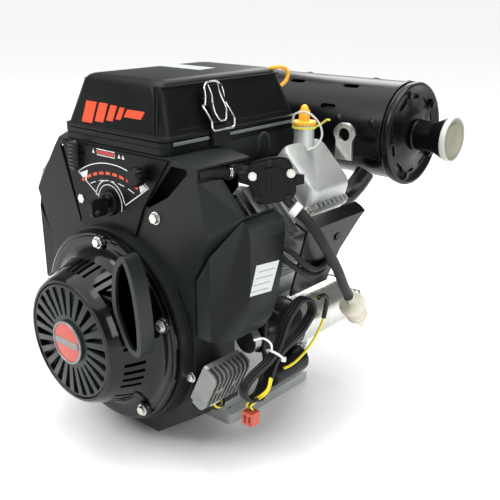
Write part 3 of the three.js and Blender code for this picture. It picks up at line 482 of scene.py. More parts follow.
def fuel_line():
    """The hose from the pump, its filter, and the clamps that hold them together."""
    matrix = Matrix.Translation(FILTER["at"]) @ Matrix.Rotation(FILTER["lean"], 4, "X")
    profile = [(0, 1), (3.6, 1), (4.6, -0.5), (4.2, -5), (9, -6), (15.6, -6.4), (16.6, -7.4), (17, -9.5),
               (17, -15), (16.2, -16.6), (14.2, -18), (13.8, -22), (13.4, -34), (12.6, -37.4), (9.6, -41),
               (5, -43), (4, -45), (4.4, -47), (3.8, -55), (2.6, -56), (0, -56)]
    body = piece("fuel_filter_body", placed(turned(profile, "z", sides=40), matrix), "filter_body",
                 replaces=["fuel_filter"], bevel=0.3, angle=50)
    ribs = [placed(turned([(16.9, -9.5), (17.5, -9.8), (17.5, -11), (16.9, -11.3)], "z", sides=40),
                   matrix)]
    ribs += [placed(turned([(13.4, z), (14.4, z - 0.3), (14.4, z - 1.1), (13.4, z - 1.4)], "z", sides=40),
                    matrix) for z in (-21, -27, -33)]
    bands = piece("fuel_filter_ribs", together(*ribs), "filter_body", bevel=0.2)
    hose = wire("fuel_hose_tube", FUEL_HOSE, 6.2, "rubber", replaces=["fuel_hose"], per_leg=4)
    first = [Vector(FUEL_HOSE[0]), Vector(FUEL_HOSE[1])]
    clamp = ring_on(first[0].lerp(first[1], 0.35), first[1] - first[0], 6.1, 8.4, 9, "fuel_hose_clamp",
                    "white")
    last = [Vector(FUEL_HOSE[-2]), Vector(FUEL_HOSE[-1])]
    cuff = ring_on(last[0].lerp(last[1], 0.8), last[1] - last[0], 6.1, 7.2, 4, "filter_hose_clip", "bolt")
    line = route(FUEL_HOSE, 4)


def ring_on(centre, direction, inner, outer, width, name, material, body="root"):
    """A round band of a given width around a line."""
    spin = direction.normalized().to_track_quat("Z", "Y").to_matrix().to_4x4()
    matrix = Matrix.Translation(centre) @ spin
    half = width / 2
    shape = turned([(inner, -half), (outer, -half), (outer, half), (inner, half)], "z", sides=32)
    return piece(name, placed(shape, matrix), material, body, bevel=0.5)


def hank_frame():
    """The middle of the hank and its three directions: across, along and outward."""
    along = (HANK["top"] - HANK["low"]).normalized()
    outward = Vector((0.86, -0.3, 0))
    face = (outward - along * along.dot(outward)).normalized()
    return (HANK["top"] + HANK["low"]) / 2, along.cross(face), along, face


def harness():
    """The spare harness: a lead in, three loops tied at the waist, and a tail to its connector."""
    middle, across, along, face = hank_frame()
    half = (HANK["top"] - HANK["low"]).length / 2
    radius = 14.0
    layer = 2 * HARNESS_RADIUS + 0.4
    waist, tie = -8.0, 2.9

    def at(a, s, f):
        return middle + across * a + along * s + face * f

    def spread(s):
        """How far a run stands from the middle: narrow at the tie, wide at both folds."""
        share = min(1.0, abs(s - waist) / (half - radius - abs(waist)))
        return tie + (radius - tie) * (share * share * (3 - 2 * share))

    points = [Vector(p) for p in HARNESS_LEAD]
    shift = 0.5 * layer
    low, high = -half + radius, half - radius
    depth = shift - 2 * layer
    for s in (-22, -34, -44):
        points.append(at(spread(s) * (0.35 - (s + 22) / 40), s, depth))
    runs = 12
    for loop_index in range(3):
        f_in, f_out = shift + (loop_index - 2) * layer, shift + (loop_index - 1) * layer
        for angle in range(0, 181, 20):
            t = math.radians(angle)
            points.append(at(radius * math.cos(t), low - radius * math.sin(t),
                             f_in + (f_out - f_in) * angle / 180))
        for i in range(1, runs):
            s = low + (high - low) * i / runs
            points.append(at(-spread(s), s, f_out))
        for angle in range(180, -1, -20):
            t = math.radians(angle)
            points.append(at(radius * math.cos(t), high + radius * math.sin(t), f_out))
        last = loop_index == 2
        for i in range(1, runs - (1 if last else 0)):
            s = high + (low - high) * i / runs
            points.append(at(spread(s), s, f_out))
    end = CONNECTOR_TOP
    points += [at(radius + 1, low - 4, shift + layer * 0.8), end + Vector((0.5, 2, 14)),
               end + Vector((0, 0, 1))]
    line = route(points, 3)
    cord = wire("harness_bundle", [tuple(p) for p in line], HARNESS_RADIUS, "sleeve", smooth=False,
                replaces=["harness_hank", "harness_lead"])
    connector = piece("harness_plug", block(183.4, 199.6, -121.4, -107.6, 63.4, 80.6), "red",
                      replaces=["harness_connector"], bevel=1.0,
                      cuts=[block(186, 190, -130, -118, 66, 76), block(193, 197, -130, -118, 66, 76),
                            block(185, 198, -119, -110, 60, 66)])
    tie_loop = []
    for i in range(25):
        t = 2 * math.pi * i / 24
        tie_loop.append(at(10.4 * math.cos(t), waist + 1.2 * math.sin(t),
                           shift + 10.6 * math.sin(t) - 1.2))
    band = wire("harness_tie", [tuple(p) for p in tie_loop], 1.5, "white", smooth=False)
    tail = wire("harness_tie_tail", [tuple(at(-10, waist, shift + 3)),
                                     tuple(at(-20, waist + 6, shift + 6)),
                                     tuple(at(-32, waist + 6, shift + 4)),
                                     tuple(at(-40, waist - 2, shift))], 1.3, "white")
    lock = piece("harness_tie_lock", placed(block(-3, 3, -3, 3, -2.5, 2.5), Matrix.Translation(
        at(10, waist + 1, shift + 5)) @ Matrix.Rotation(0.6, 4, "Z")), "white", bevel=0.8)
    wires = [wire("plug_wire_%d" % i, [tuple(at(4 + 3 * i, waist - 26, shift + 9)),
                                       tuple(at(9 + 3 * i, waist - 42, shift + 9)),
                                       tuple(end + Vector((-4 + 6 * i, -1, 8))),
                                       tuple(end + Vector((-4 + 6 * i, 1, 0.5)))], 1.3, "yellow")
             for i in range(2)]


def stop_lead():
    lead = wire("stop_wire", STOP_LEAD, 1.7, "yellow", replaces=["stop_lead"], per_leg=5)
    sleeve = wire("stop_wire_sleeve", STOP_LEAD[:5], 3.1, "sleeve", per_leg=6)
    line = route(STOP_LEAD, 5)


fuel_line()
harness()
stop_lead()


# --- shared outlines ----------------------------------------------------------------------------------

def inset(outline, wall):
    """An anticlockwise outline moved inwards by a wall's thickness."""
    count = len(outline)
    moved_points = []
    for i in range(count):
        before, here, after = Vector(outline[i - 1]), Vector(outline[i]), Vector(outline[(i + 1) % count])
        first, second = (here - before).normalized(), (after - here).normalized()
        normal = Vector((-first.y - second.y, first.x + second.x)).normalized()
        reach = wall / max(0.3, normal.dot(Vector((-first.y, first.x))))
        moved_points.append(tuple(here + normal * reach))
    return moved_points


def ribbon(points, width, place, thickness=0.35, closed=False):
    """A flat stripe along points (x, z), standing on the plane y = place, towards the front."""
    line = [Vector(p) for p in points]
    count = len(line)
    left, right = [], []
    for i, here in enumerate(line):
        before = line[i - 1] if i or closed else here
        after = line[(i + 1) % count] if i < count - 1 or closed else here
        along = (after - before).normalized()
        side = Vector((-along.y, along.x)) * width / 2
        left.append(tuple(here + side))
        right.append(tuple(here - side))
    parts = []
    for i in range(count if closed else count - 1):
        j = (i + 1) % count
        parts.append(prism([left[i], right[i], right[j], left[j]], "y", place, place - thickness))
    return together(*parts)


# --- air cleaner --------------------------------------------------------------------------------------

def cover_share(z):
    return (z - CLEANER["low"]) / (CLEANER["top"] - CLEANER["low"])


def cover_side(z):
    """Half width of the cover's sloping side at a height."""
    return CLEANER["half"] - (CLEANER["half"] - 67.0) * cover_share(z)


def cover_front(z):
    return CLEANER["front"] + CLEANER["draft"] * cover_share(z)


def cover_ring(z, shrink=0.0, corner=13.0):
    rear = CLEANER["rear"] - CLEANER["draft"] * cover_share(z) - shrink
    return [(x, y, z) for x, y in rounded(-cover_side(z) + shrink, cover_side(z) - shrink,
                                          cover_front(z) + shrink, rear, corner, 6)]


def on_cover_side(outline, low, high, side):
    """A slab between two depths from the cover's side face. Its outline is (y, z)."""
    return loft([[(side * (cover_side(z) + depth), y, z) for y, z in outline] for depth in (low, high)])


def on_cover_front(outline, low, high):
    """A slab between two depths in front of the cover's front face. Its outline is (x, z)."""
    return loft([[(x, cover_front(z) - depth, z) for x, z in outline] for depth in (low, high)])


def air_cleaner():
    rim = [[(x, y, z) for x, y in rounded(-93.5, 93.5, -147, 92, 12, 6)] for z in (391.7, 395.4)]
    shell = rim + [cover_ring(396.4, 0, 12), cover_ring(430), cover_ring(447), cover_ring(450.6, 1.0),
                   cover_ring(453.3, 3.2, 12), cover_ring(454.9, 6.6, 11), cover_ring(455.5, 11.5, 9)]
    hollow = [cover_ring(391, 3.2, 10), cover_ring(430, 3.2), cover_ring(451, 5.5, 10)]
    recess = [(-122, 402), (-34, 402), (-34, 444), (-106, 444), (-122, 430)]
    rear_recess = [(-20, 402), (74, 402), (70, 444), (-20, 444)]
    cuts = [loft(hollow)]
    for side in (1, -1):
        cuts.append(on_cover_side(recess, -1.5, 5, side))
        cuts.append(on_cover_side(rear_recess, -1.5, 5, side))
    piece("cleaner_cover_shell", loft(shell), "plastic", "cover", ["air_cleaner_cover"], cuts=cuts,
          bevel=0.9, segments=3, angle=24)
    lips = []
    for side in (1, -1):
        lips.append(on_cover_side([(-126, 447.2), (76, 447.2), (76, 449), (-126, 449)], -0.6, 1.3, side))
        lugs = prism([(side * x, z) for x, z in [(73, 415), (89.5, 418), (89.5, 429), (74, 432)]], "y",
                     -71, -49)
        lips.append(lugs)
    for low, high in ((73.4, 64.6), (78.6, 69.4)):
        lips.append(on_cover_front([(low - 1.3, 399), (low + 1.3, 399), (high + 1.3, 450),
                                    (high - 1.3, 450)], -0.5, 1.4))
    piece("cleaner_cover_ribs", together(*lips), "plastic", "cover", bevel=0.5)

    bars = []
    for start, width, low, high in ((-58, 20, 399, 424), (-33, 16, 402, 424), (-12, 12, 405, 423),
                                    (5, 9, 408, 422), (19, 30, 412, 421)):
        bars.append(on_cover_front([(start, low), (start + width, low), (start + width + 5, high),
                                    (start + 5, high)], -0.2, 0.5))
    piece("cleaner_front_bars", together(*bars), "print_orange", "cover", bevel=0.15)
    piece("cleaner_roof_label", prism([(-54, -16), (20, -17), (17, 14), (-58, 16)], "z", 455.3, 455.8),
          "label", "cover", bevel=0.1)

    tray = prism(rounded(-93.5, 93.5, -147, 92, 12, 6), "z", 377, 390.6)
    skirt = prism(rounded(-94.5, 94.5, -60, 92, 6), "z", 350, 380)
    catches = []
    for side in (1, -1):
        hooked = [(92.5, 378), (98.5, 378), (98.5, 402), (96.6, 403), (94.5, 402), (94.5, 389),
                  (92.5, 389)]
        catches.append(prism([(side * x, z) for x, z in hooked], "y", -74, -46))
    under = prism(rounded(-91.5, 91.5, -57, 89, 6), "z", 349, 386)
    front_under = prism(rounded(-89.5, 89.5, -142, -64, 6), "z", 376, 386)
    throat = disc("z", 22, 384, 392, (0, 26))
    seam = prism(rounded(-96, 96, -150, 95, 14, 6), "z", 384.2, 385.6)
    core = prism(rounded(-92.6, 92.6, -146, 91, 12, 6), "z", 384, 386)
    groove = loft_between(seam, core)
    piece("cleaner_tray", tray, "plastic", replaces=["air_cleaner_base"], joins=[skirt, *catches],
          cuts=[under, front_under, throat, groove], bevel=0.9, segments=3)
    strap = [(58, 70, 453), (66, 78, 455), (71, 87, 454), (74, 92, 448), (73, 90, 438), (70, 82, 431)]
    wire("cleaner_strap", strap, 2.6, "orange", "cover", per_leg=6)
    strips = [block(93.2 if side > 0 else -94.9, 94.9 if side > 0 else -93.2, y0, y1, 386.6, 390.4)
              for side in (1, -1) for y0, y1 in ((-134, -78), (-42, 84))]
    piece("cleaner_tray_lip", together(*strips), "trim", bevel=0.5)
    for side, name in ((1, "right"), (-1, "left")):
        bail = [(86, -79, 424), (91, -79, 419), (99.5, -79, 409), (100.5, -79, 406), (100.6, -78.6, 400),
                (100.6, -76, 397.3), (100.6, -72, 397), (100.6, -48, 397), (100.6, -44, 397.3),
                (100.6, -41.4, 400), (100.5, -41, 406), (99.5, -41, 409), (91, -41, 419), (86, -41, 424)]
        bail = [(side * x, y, z) for x, y, z in bail]
        wire("latch_%s_bail" % name, bail, 1.5, "chrome", "latch_" + name, ["latch_" + name], per_leg=4)
        wire("latch_%s_pivot" % name, [(side * 86, -80.5, 424), (side * 86, -39.5, 424)], 1.5, "chrome",
             "latch_" + name, smooth=False)
        upper = [(86, -75.2, 424), (87, -75.2, 434), (84.5, -74, 444), (82.5, -69, 449), (82, -60, 450),
                 (82.5, -51, 449), (84.5, -46, 444), (87, -44.8, 434), (86, -44.8, 424)]
        inner = [(84, -68, 447), (89, -67, 436), (95, -70, 421), (99.6, -66, 409), (100, -60, 407),
                 (99.6, -54, 409), (95, -50, 421), (89, -53, 436), (84, -52, 447)]
        for part, points in (("spring", upper), ("link", inner)):
            wire("latch_%s_%s" % (name, part), [(side * x, y, z) for x, y, z in points], 1.3, "chrome",
                 "cover", per_leg=5)
        toggle = [(82, 446), (85, 447), (89, 436), (92.5, 424), (97.6, 412), (98.2, 404.5), (96, 404),
                  (88.6, 421), (85, 436)]
        plate = prism([(side * x, z) for x, z in toggle], "y", -73.5, -46.5)
        piece("latch_%s_toggle" % name, plate, "plastic", "cover", bevel=0.8)


def loft_between(outer, inner):
    """A band between two lofts of the same number of rings, as one closed shape."""
    count = len(outer[0]) // 2
    vertices = list(outer[0]) + list(inner[0])
    low_out, high_out, low_in, high_in = 0, count, 2 * count, 3 * count
    faces = []
    for i in range(count):
        j = (i + 1) % count
        faces.append((low_out + i, low_out + j, high_out + j, high_out + i))
        faces.append((low_in + j, low_in + i, high_in + i, high_in + j))
        faces.append((high_out + i, high_out + j, high_in + j, high_in + i))
        faces.append((low_out + j, low_out + i, low_in + i, low_in + j))
    return vertices, faces


air_cleaner()


# --- blower housing and control panel -----------------------------------------------------------------

HOUSING_BEND = -122.0
HOUSING_REAR = -66.0
FACE_FOOT = [(64, 14.5), (124, 57), (136, 128), (136, 244), (143, 257), (158, 300)]
SIDE_FOOT = [(64, 14.5), (126, 55), (138, 128), (138, 244), (146, 256)]
HOUSING_FACE = FACE_FOOT + [(145, 359), (145, 372), (118, 376)]
HOUSING_FACE += [(-x, z) for x, z in reversed(FACE_FOOT + [(135.4, 330.9), (112.2, 361.3), (100, 376)])]
HOUSING_SIDE = SIDE_FOOT + [(187, 320), (150, 360), (146, 372), (122, 376)]
HOUSING_SIDE += [(-x, z) for x, z in reversed(SIDE_FOOT + [(184, 317), (147, 353), (136, 368),
                                                           (122, 376)])]
RIGHT_RECESS = [(60, 316), (66, 314), (99, 332), (132, 364), (129, 369), (106, 369)]
LEFT_RECESS = [(-99, 366), (-90, 368), (-64, 274), (-67, 270)]
PANEL_FRONT = -153.4
BOLT_CIRCLE = 113.0


def blower_housing():
    front = prism(HOUSING_FACE, "y", HOUSING_FRONT, HOUSING_BEND, HOUSING_SIDE)
    side = prism(HOUSING_SIDE, "y", HOUSING_BEND - 0.1, HOUSING_REAR)
    collar = disc("y", 128, COLLAR_FRONT, HOUSING_FRONT + 1, (0, CRANK_Z), 96)
    step = disc("y", 131, HOUSING_FRONT - 3, HOUSING_FRONT + 1, (0, CRANK_Z), 96)
    inner_front = prism(inset(HOUSING_FACE, 3), "y", HOUSING_FRONT + 3, HOUSING_BEND,
                        inset(HOUSING_SIDE, 3))
    inner_side = prism(inset(HOUSING_SIDE, 3), "y", HOUSING_BEND - 0.1, HOUSING_REAR + 1)
    mouth = disc("y", 102, COLLAR_FRONT - 1, HOUSING_FRONT + 10, (0, CRANK_Z), 64)
    recesses = [prism(outline, "y", HOUSING_FRONT - 1, HOUSING_FRONT + 4)
                for outline in (RIGHT_RECESS, LEFT_RECESS)]
    tops = []
    for side_of in (1, -1):
        x0, x1 = sorted((side_of * 133, side_of * 200))
        tops.append(block(x0, x1, HOUSING_BEND + 4, HOUSING_REAR + 6, 318.8, 370))
        tops.append(block(x0, x1, HOUSING_FRONT + 3, HOUSING_REAR + 6, 356, 370))
    nose = disc("y", 20, HOUSING_REAR - 18, HOUSING_REAR + 1, (STARTER["x"], STARTER["z"]))
    piece("blower_housing_shell", front, "panel", replaces=["blower_housing"], joins=[side, collar, step],
          cuts=[inner_front, inner_side, mouth, *recesses, *tops, nose], bevel=1.6, segments=3, angle=14)
    half = [(60, 257), (98, 300), (128, 334), (128, 349), (0.5, 349)]
    wall = prism(half + [(-x, z) for x, z in reversed(half)], "y", -65.6, -63.6)
    rails = [block(x - 1.2, x + 1.2, -63.8, -61.6, 262, 347) for x in (-70, -35, 0, 35, 70)]
    piece("duct_wall", together(wall, *rails), "panel", bevel=0.5)
    ridges = []
    for radius, start, end in ((133.5, -38, 34), (138, -30, 22), (133.5, 146, 214)):
        ridges.append(ribbon([(a, b) for a, b in arc(0, CRANK_Z, radius, start, end, 30) if abs(a) < 134],
                             1.4, HOUSING_FRONT + 0.4, 1.6))
    piece("blower_housing_ridges", together(*ridges), "plastic", bevel=0.4)
    seat = HOUSING_FRONT + 0.3
    bolts = [hexagon_bolt("y", (x, seat, z), 11, 5.5, 8) for x, z in ((-57, 304), (77, 304))]
    bolts += [hexagon_bolt("y", (x, seat, z), 10, 4.5, 7) for x, z in ((-128, 150), (129, 118))]
    piece("housing_bolts", together(*bolts), "bolt", bevel=0.5)


def control_panel():
    top_arc = [(131 * math.cos(math.radians(116 - 4.5 * i)),
                CRANK_Z + 131 * math.sin(math.radians(116 - 4.5 * i))) for i in range(11)]
    outline = list(reversed([(-89, 374), *top_arc, (59, 312), (104, 374)]))
    plate = prism(outline, "y", PANEL_FRONT, HOUSING_FRONT - 0.4)
    bezel = turned([(15.5, PANEL_FRONT + 1), (15.5, PANEL_FRONT - 3.4), (14.2, PANEL_FRONT - 5),
                    (11, PANEL_FRONT - 5), (9.6, PANEL_FRONT - 3.2), (0, PANEL_FRONT - 3.2),
                    (0, PANEL_FRONT + 1)], "y", (0, 309))
    slot = prism(rounded(-78, -42, 361.6, 367.4, 2.8), "y", PANEL_FRONT - 1, HOUSING_FRONT + 1)
    choke_hole = disc("y", 6, PANEL_FRONT - 1, HOUSING_FRONT + 1, (64, 353))
    key_hole = disc("y", 5, PANEL_FRONT - 6, HOUSING_FRONT + 1, (0, 309))
    piece("control_panel_plate", plate, "panel", replaces=["control_panel"], joins=[bezel],
          cuts=[slot, choke_hole, key_hole], bevel=0.9, segments=3, angle=28)
    place = PANEL_FRONT + 0.05
    fan = [(-59, 338), (-20, 313)] + [tuple(p) for p in arc(0, 309, 27, 170, 12, 16)]
    fan += [(29, 311), (72, 339)] + [tuple(p) for p in arc(6.5, 232, 125, 58, 122, 30)]
    inner_fan = arc(0, 309, 22, 200, -20, 18)
    scale_bar = [(-19, 365), (14, 365), (14, 372), (-19, 372)]
    white = [ribbon(fan, 1.1, place, closed=True), ribbon(inner_fan, 0.9, place),
             ribbon(scale_bar, 0.9, place, closed=True)]
    white.append(prism([(-57, 337), (-44, 329), (-40, 343)], "y", place, place - 0.3))
    white.append(prism([(70, 338), (57, 331), (54, 344)], "y", place, place - 0.3))
    white += [ribbon(arc(6.5, 232, 104, 68 + 10 * i, 74 + 10 * i, 4), 1.0, place) for i in range(5)]
    for x in (-26, 22, 29):
        white.append(prism([(x - 2.4, 366), (x + 2.4, 366), (x, 371)], "y", place, place - 0.3))
    piece("panel_white_marks", together(*white), "print_white", bevel=0.08)
    piece("panel_red_bar", prism([(-18, 366), (13, 366), (13, 371), (-18, 371)], "y", place,
                                 place - 0.25), "print_red", bevel=0.08)
    orange = []
    for i in range(9):
        start = 66 + 6.4 * i
        orange.append(ribbon(arc(6.5, 232, 113, start, start + 4.3, 4), 3.6, place))
    piece("panel_orange_marks", together(*orange), "print_orange", bevel=0.08)


def controls():
    stem = block(-62.5, -57.5, PANEL_FRONT - 4, HOUSING_FRONT - 0.7, 363, 366)
    paddle = prism(rounded(-67, -53, 340, 378, 4), "y", PANEL_FRONT - 3, PANEL_FRONT - 8,
                   rounded(-66, -54, 341, 377, 4))
    grip_ribs = [prism(rounded(-65, -55, 344 + 4.6 * i, 346.4 + 4.6 * i, 1), "y", PANEL_FRONT - 7,
                       PANEL_FRONT - 10) for i in range(7)]
    piece("throttle_paddle", together(stem, paddle, *grip_ribs), "grip", "throttle", ["throttle_lever"],
          bevel=0.7)
    at = PANEL_FRONT
    knob = turned([(0, at - 18), (8.5, at - 18), (10.6, at - 16.6), (11.6, at - 13.5), (11, at - 6),
                   (7, at - 3.4), (5.5, at - 2), (5.5, HOUSING_FRONT - 0.7), (0, HOUSING_FRONT - 0.7)],
                  "y", (64, 353), 36)
    notches = [turned_by(block(73.9, 76.5, at - 19, at - 5, 352.2, 353.8), 30 * i, "y", (64, 0, 353))
               for i in range(12)]
    piece("choke_pull", knob, "plastic", "choke", ["choke_knob"], cuts=[together(*notches)], bevel=0.5)
    stem = disc("y", 4.4, at - 8, HOUSING_FRONT - 0.7, (0, 309), 20)
    bow = prism(rounded(-13, 9, at - 29.5, at - 6, 5), "x", -3, 3)
    bow = ([(x, z, y + 309) for x, y, z in bow[0]], bow[1])
    hole = disc("x", 3.4, -5, 5, (at - 22, 301), 20)
    piece("key_bow", bow, "plastic", "key", ["ignition_key"], joins=[stem], cuts=[hole], bevel=1.0,
          segments=3)


blower_housing()
control_panel()
controls()


# --- recoil starter -----------------------------------------------------------------------------------

def recoil():
    front = -228.0
    profile = [(124, -163.4), (124.6, -166), (124, -169), (121, -170.6), (118.4, -170.2), (117.4, -171.8),
               (113.6, -172.6), (110, -171.8), (106, -172), (99, -176), (94.4, -181), (91.4, -189),
               (88.6, -200), (84.6, -212), (81.4, -220), (79.4, -225), (76.8, -228), (73.6, -228.8),
               (72.8, -227), (71, -225), (71, -223), (76, -222), (85, -199), (90, -178), (104, -168),
               (104, -163.4)]
    louvres = []
    for group in range(10):
        for slit in range(4):
            louvre = block(68, 100, -213, -187, CRANK_Z - 2.3, CRANK_Z + 2.3)
            louvres.append(spun(louvre, 18 + 36 * group + 7.2 * (slit - 1.5)))
    rope_hole = block(40, 100, -214, -198, 207, 223)
    piece("recoil_cone", turned(profile, "y", (0, CRANK_Z), 120), "gloss", replaces=["recoil_housing"],
          cuts=[together(*louvres), rope_hole], bevel=0.5)
    face = turned([(72, -224.6), (72, front + 0.6), (70.6, front), (27, front), (27, -231), (0, -231),
                   (0, -190), (7, -190), (7, -222.5), (30, -224.2)], "y", (0, CRANK_Z), 120)
    petals = []
    for i in range(24):
        petal = prism([(34, CRANK_Z - 1.5), (67.5, CRANK_Z - 4.6), (69, CRANK_Z - 3), (69, CRANK_Z + 3),
                       (67.5, CRANK_Z + 4.6), (34, CRANK_Z + 1.5)], "y", front - 2, -222)
        petals.append(spun(petal, 15 * i + 4))
    piece("recoil_face", face, "grip", cuts=[together(*petals)], bevel=0.7)
    guard = turned([(30, -221), (71, -221), (71, -219.5), (30, -219.5)], "y", (0, CRANK_Z), 60)
    piece("recoil_inner_plate", guard, "enamel", bevel=0.3)
    ring = turned([(24.6, -230.6), (27.4, -230.6), (27.4, -232.4), (26.6, -233), (25.2, -233),
                   (24.6, -232.4)], "y", (0, CRANK_Z), 72)
    piece("recoil_badge_ring", ring, "fin", bevel=0.2)
    badge = turned([(0, -230.8), (24.6, -230.8), (24.6, -231.8), (20, -232.3), (0, -232.6)], "y",
                   (0, CRANK_Z), 72)
    piece("recoil_badge", badge, "badge", bevel=0.1)
    band = prism(rounded(-22.8, 22.8, CRANK_Z - 4.6, CRANK_Z + 4.6, 3), "y", -232.2, -232.9)
    piece("recoil_badge_band", band, "badge_band", bevel=0.1)
    ears, bolts = [], []
    for i in range(5):
        angle = math.radians(90 + 72 * i)
        at = (BOLT_CIRCLE * math.cos(angle), CRANK_Z + BOLT_CIRCLE * math.sin(angle))
        ears.append(turned([(0, -168), (10.4, -168), (10.4, -173), (9, -175.6), (0, -176)], "y", at, 32))
        bolts.append(hexagon_bolt("y", (at[0], -175.8, at[1]), 10, 5, 7.6))
    piece("recoil_ears", together(*ears), "gloss", bevel=0.6)
    piece("recoil_bolts", together(*bolts), "bolt", bevel=0.5)


GRIP = [(91.5, 278.5), (80, 265), (74.5, 246), (72.5, 221), (75.5, 204), (83, 187.5), (92, 171.5),
        (102, 163.5), (114, 163.7), (118, 174), (118.5, 198), (115.5, 227.5), (111, 250), (105.5, 266),
        (99.5, 276)]


def smooth_outline(points):
    """A closed outline drawn as a smooth curve through its points."""
    count = len(points)
    line = []
    for i in range(count):
        before, start, end, after = (Vector(points[(i + step) % count]) for step in (-1, 0, 1, 2))
        for share in (0, 0.25, 0.5, 0.75):
            line.append(tuple(0.5 * (2 * start + (end - before) * share
                                     + (2 * before - 5 * start + 4 * end - after) * share * share
                                     + (3 * start - before - 3 * end + after) * share ** 3)))
    return line


def handle():
    y = -206
    outline = smooth_outline(GRIP)
    frame_shape = prism(outline, "y", y - 10, y + 10)
    hole = prism(smooth_outline(inset(GRIP, 6.4)), "y", y - 12, y + 12)
    channel = prism(smooth_outline(inset(GRIP, 3.0)), "y", y - 5.5, y + 5.5)
    boss = turned([(0, 69.5), (6.5, 69.5), (8, 71), (8, 77), (0, 77)], "x", (y, 215), 32)
    piece("handle_grip", frame_shape, "grip", "handle", ["pull_handle"], joins=[boss],
          cuts=[hole, channel], bevel=1.5, segments=3, angle=40)
    web = loft_between(*[[[(x, at, z) for x, z in ring] for at in (y - 5, y + 5)]
                         for ring in (smooth_outline(inset(GRIP, 2.9)),
                                      smooth_outline(inset(GRIP, 5.4)))])
    piece("handle_web", web, "plastic", "handle", bevel=0.3)
    wire("handle_rope", [(-42, y, 215), (72, y, 215)], 2.6, "sleeve", "handle", smooth=False)


recoil()
handle()


# --- side casings -------------------------------------------------------------------------------------

def side_casings():
    outline = [(139, 172), (176, 172), (187, 190), (191, 205), (192, 240), (192, 290), (190.6, 306),
               (186, 316), (147.8, 255), (139, 242)]
    inner = [(130, 175), (174, 175), (187, 199), (189, 290), (186.6, 304), (184, 310), (150, 252),
             (130, 240)]
    for side, name in ((1, "right"), (-1, "left")):
        shape = prism(outline, "y", -148, -56)
        front_corner = prism([(148, -160), (202, -160), (202, -106)], "z", 160, 330)
        rear_corner = prism([(-64, 330), (-64, 316), (-56, 306), (-56, 290), (-62, 240), (-76, 172),
                             (-76, 160), (-40, 160), (-40, 330)], "x", 130, 200)
        hollow = prism(inner, "y", -145, -40)
        hollow_corner = prism([(144, -160), (198, -160), (198, -102)], "z", 160, 330)
        cuts = [front_corner, rear_corner]
        if side < 0:
            shape, cuts, hollow, hollow_corner = (mirrored(shape), [mirrored(c) for c in cuts],
                                                  mirrored(hollow), mirrored(hollow_corner))
        skin = bpy.data.objects.new("hollow", mesh_from("hollow", hollow))
        bpy.context.scene.collection.objects.link(skin)
        combine(skin, [hollow_corner], "DIFFERENCE")
        points = [tuple(vertex.co / MM) for vertex in skin.data.vertices]
        faces = [tuple(face.vertices) for face in skin.data.polygons]
        bpy.data.objects.remove(skin)
        piece("casing_%s_shell" % name, shape, "plastic", replaces=["side_casing_" + name],
              cuts=[*cuts, (points, faces)], bevel=2.2, segments=3, angle=15)
    film = prism([(-106, 262), (-66, 258), (-80, 224), (-117, 228)], "x", 191.9, 192.3)
    piece("casing_label", film, "label", bevel=0.1)
    lines = [prism([(-103 - 4 * i, 254 - 7 * i), (-74 - 4 * i, 251 - 7 * i), (-74 - 4 * i, 249.8 - 7 * i),
                    (-103 - 4 * i, 252.8 - 7 * i)], "x", 192.2, 192.45) for i in range(4)]
    piece("casing_label_lines", together(*lines), "ink", bevel=0.05)


side_casings()


# --- heads, valve covers and their fittings -----------------------------------------------------------

VALVE_COVER = 226.0


def across(side, low, high):
    """A span in a bank's own frame, whose low side faces out and down."""
    return (low, high) if side > 0 else (-high, -low)


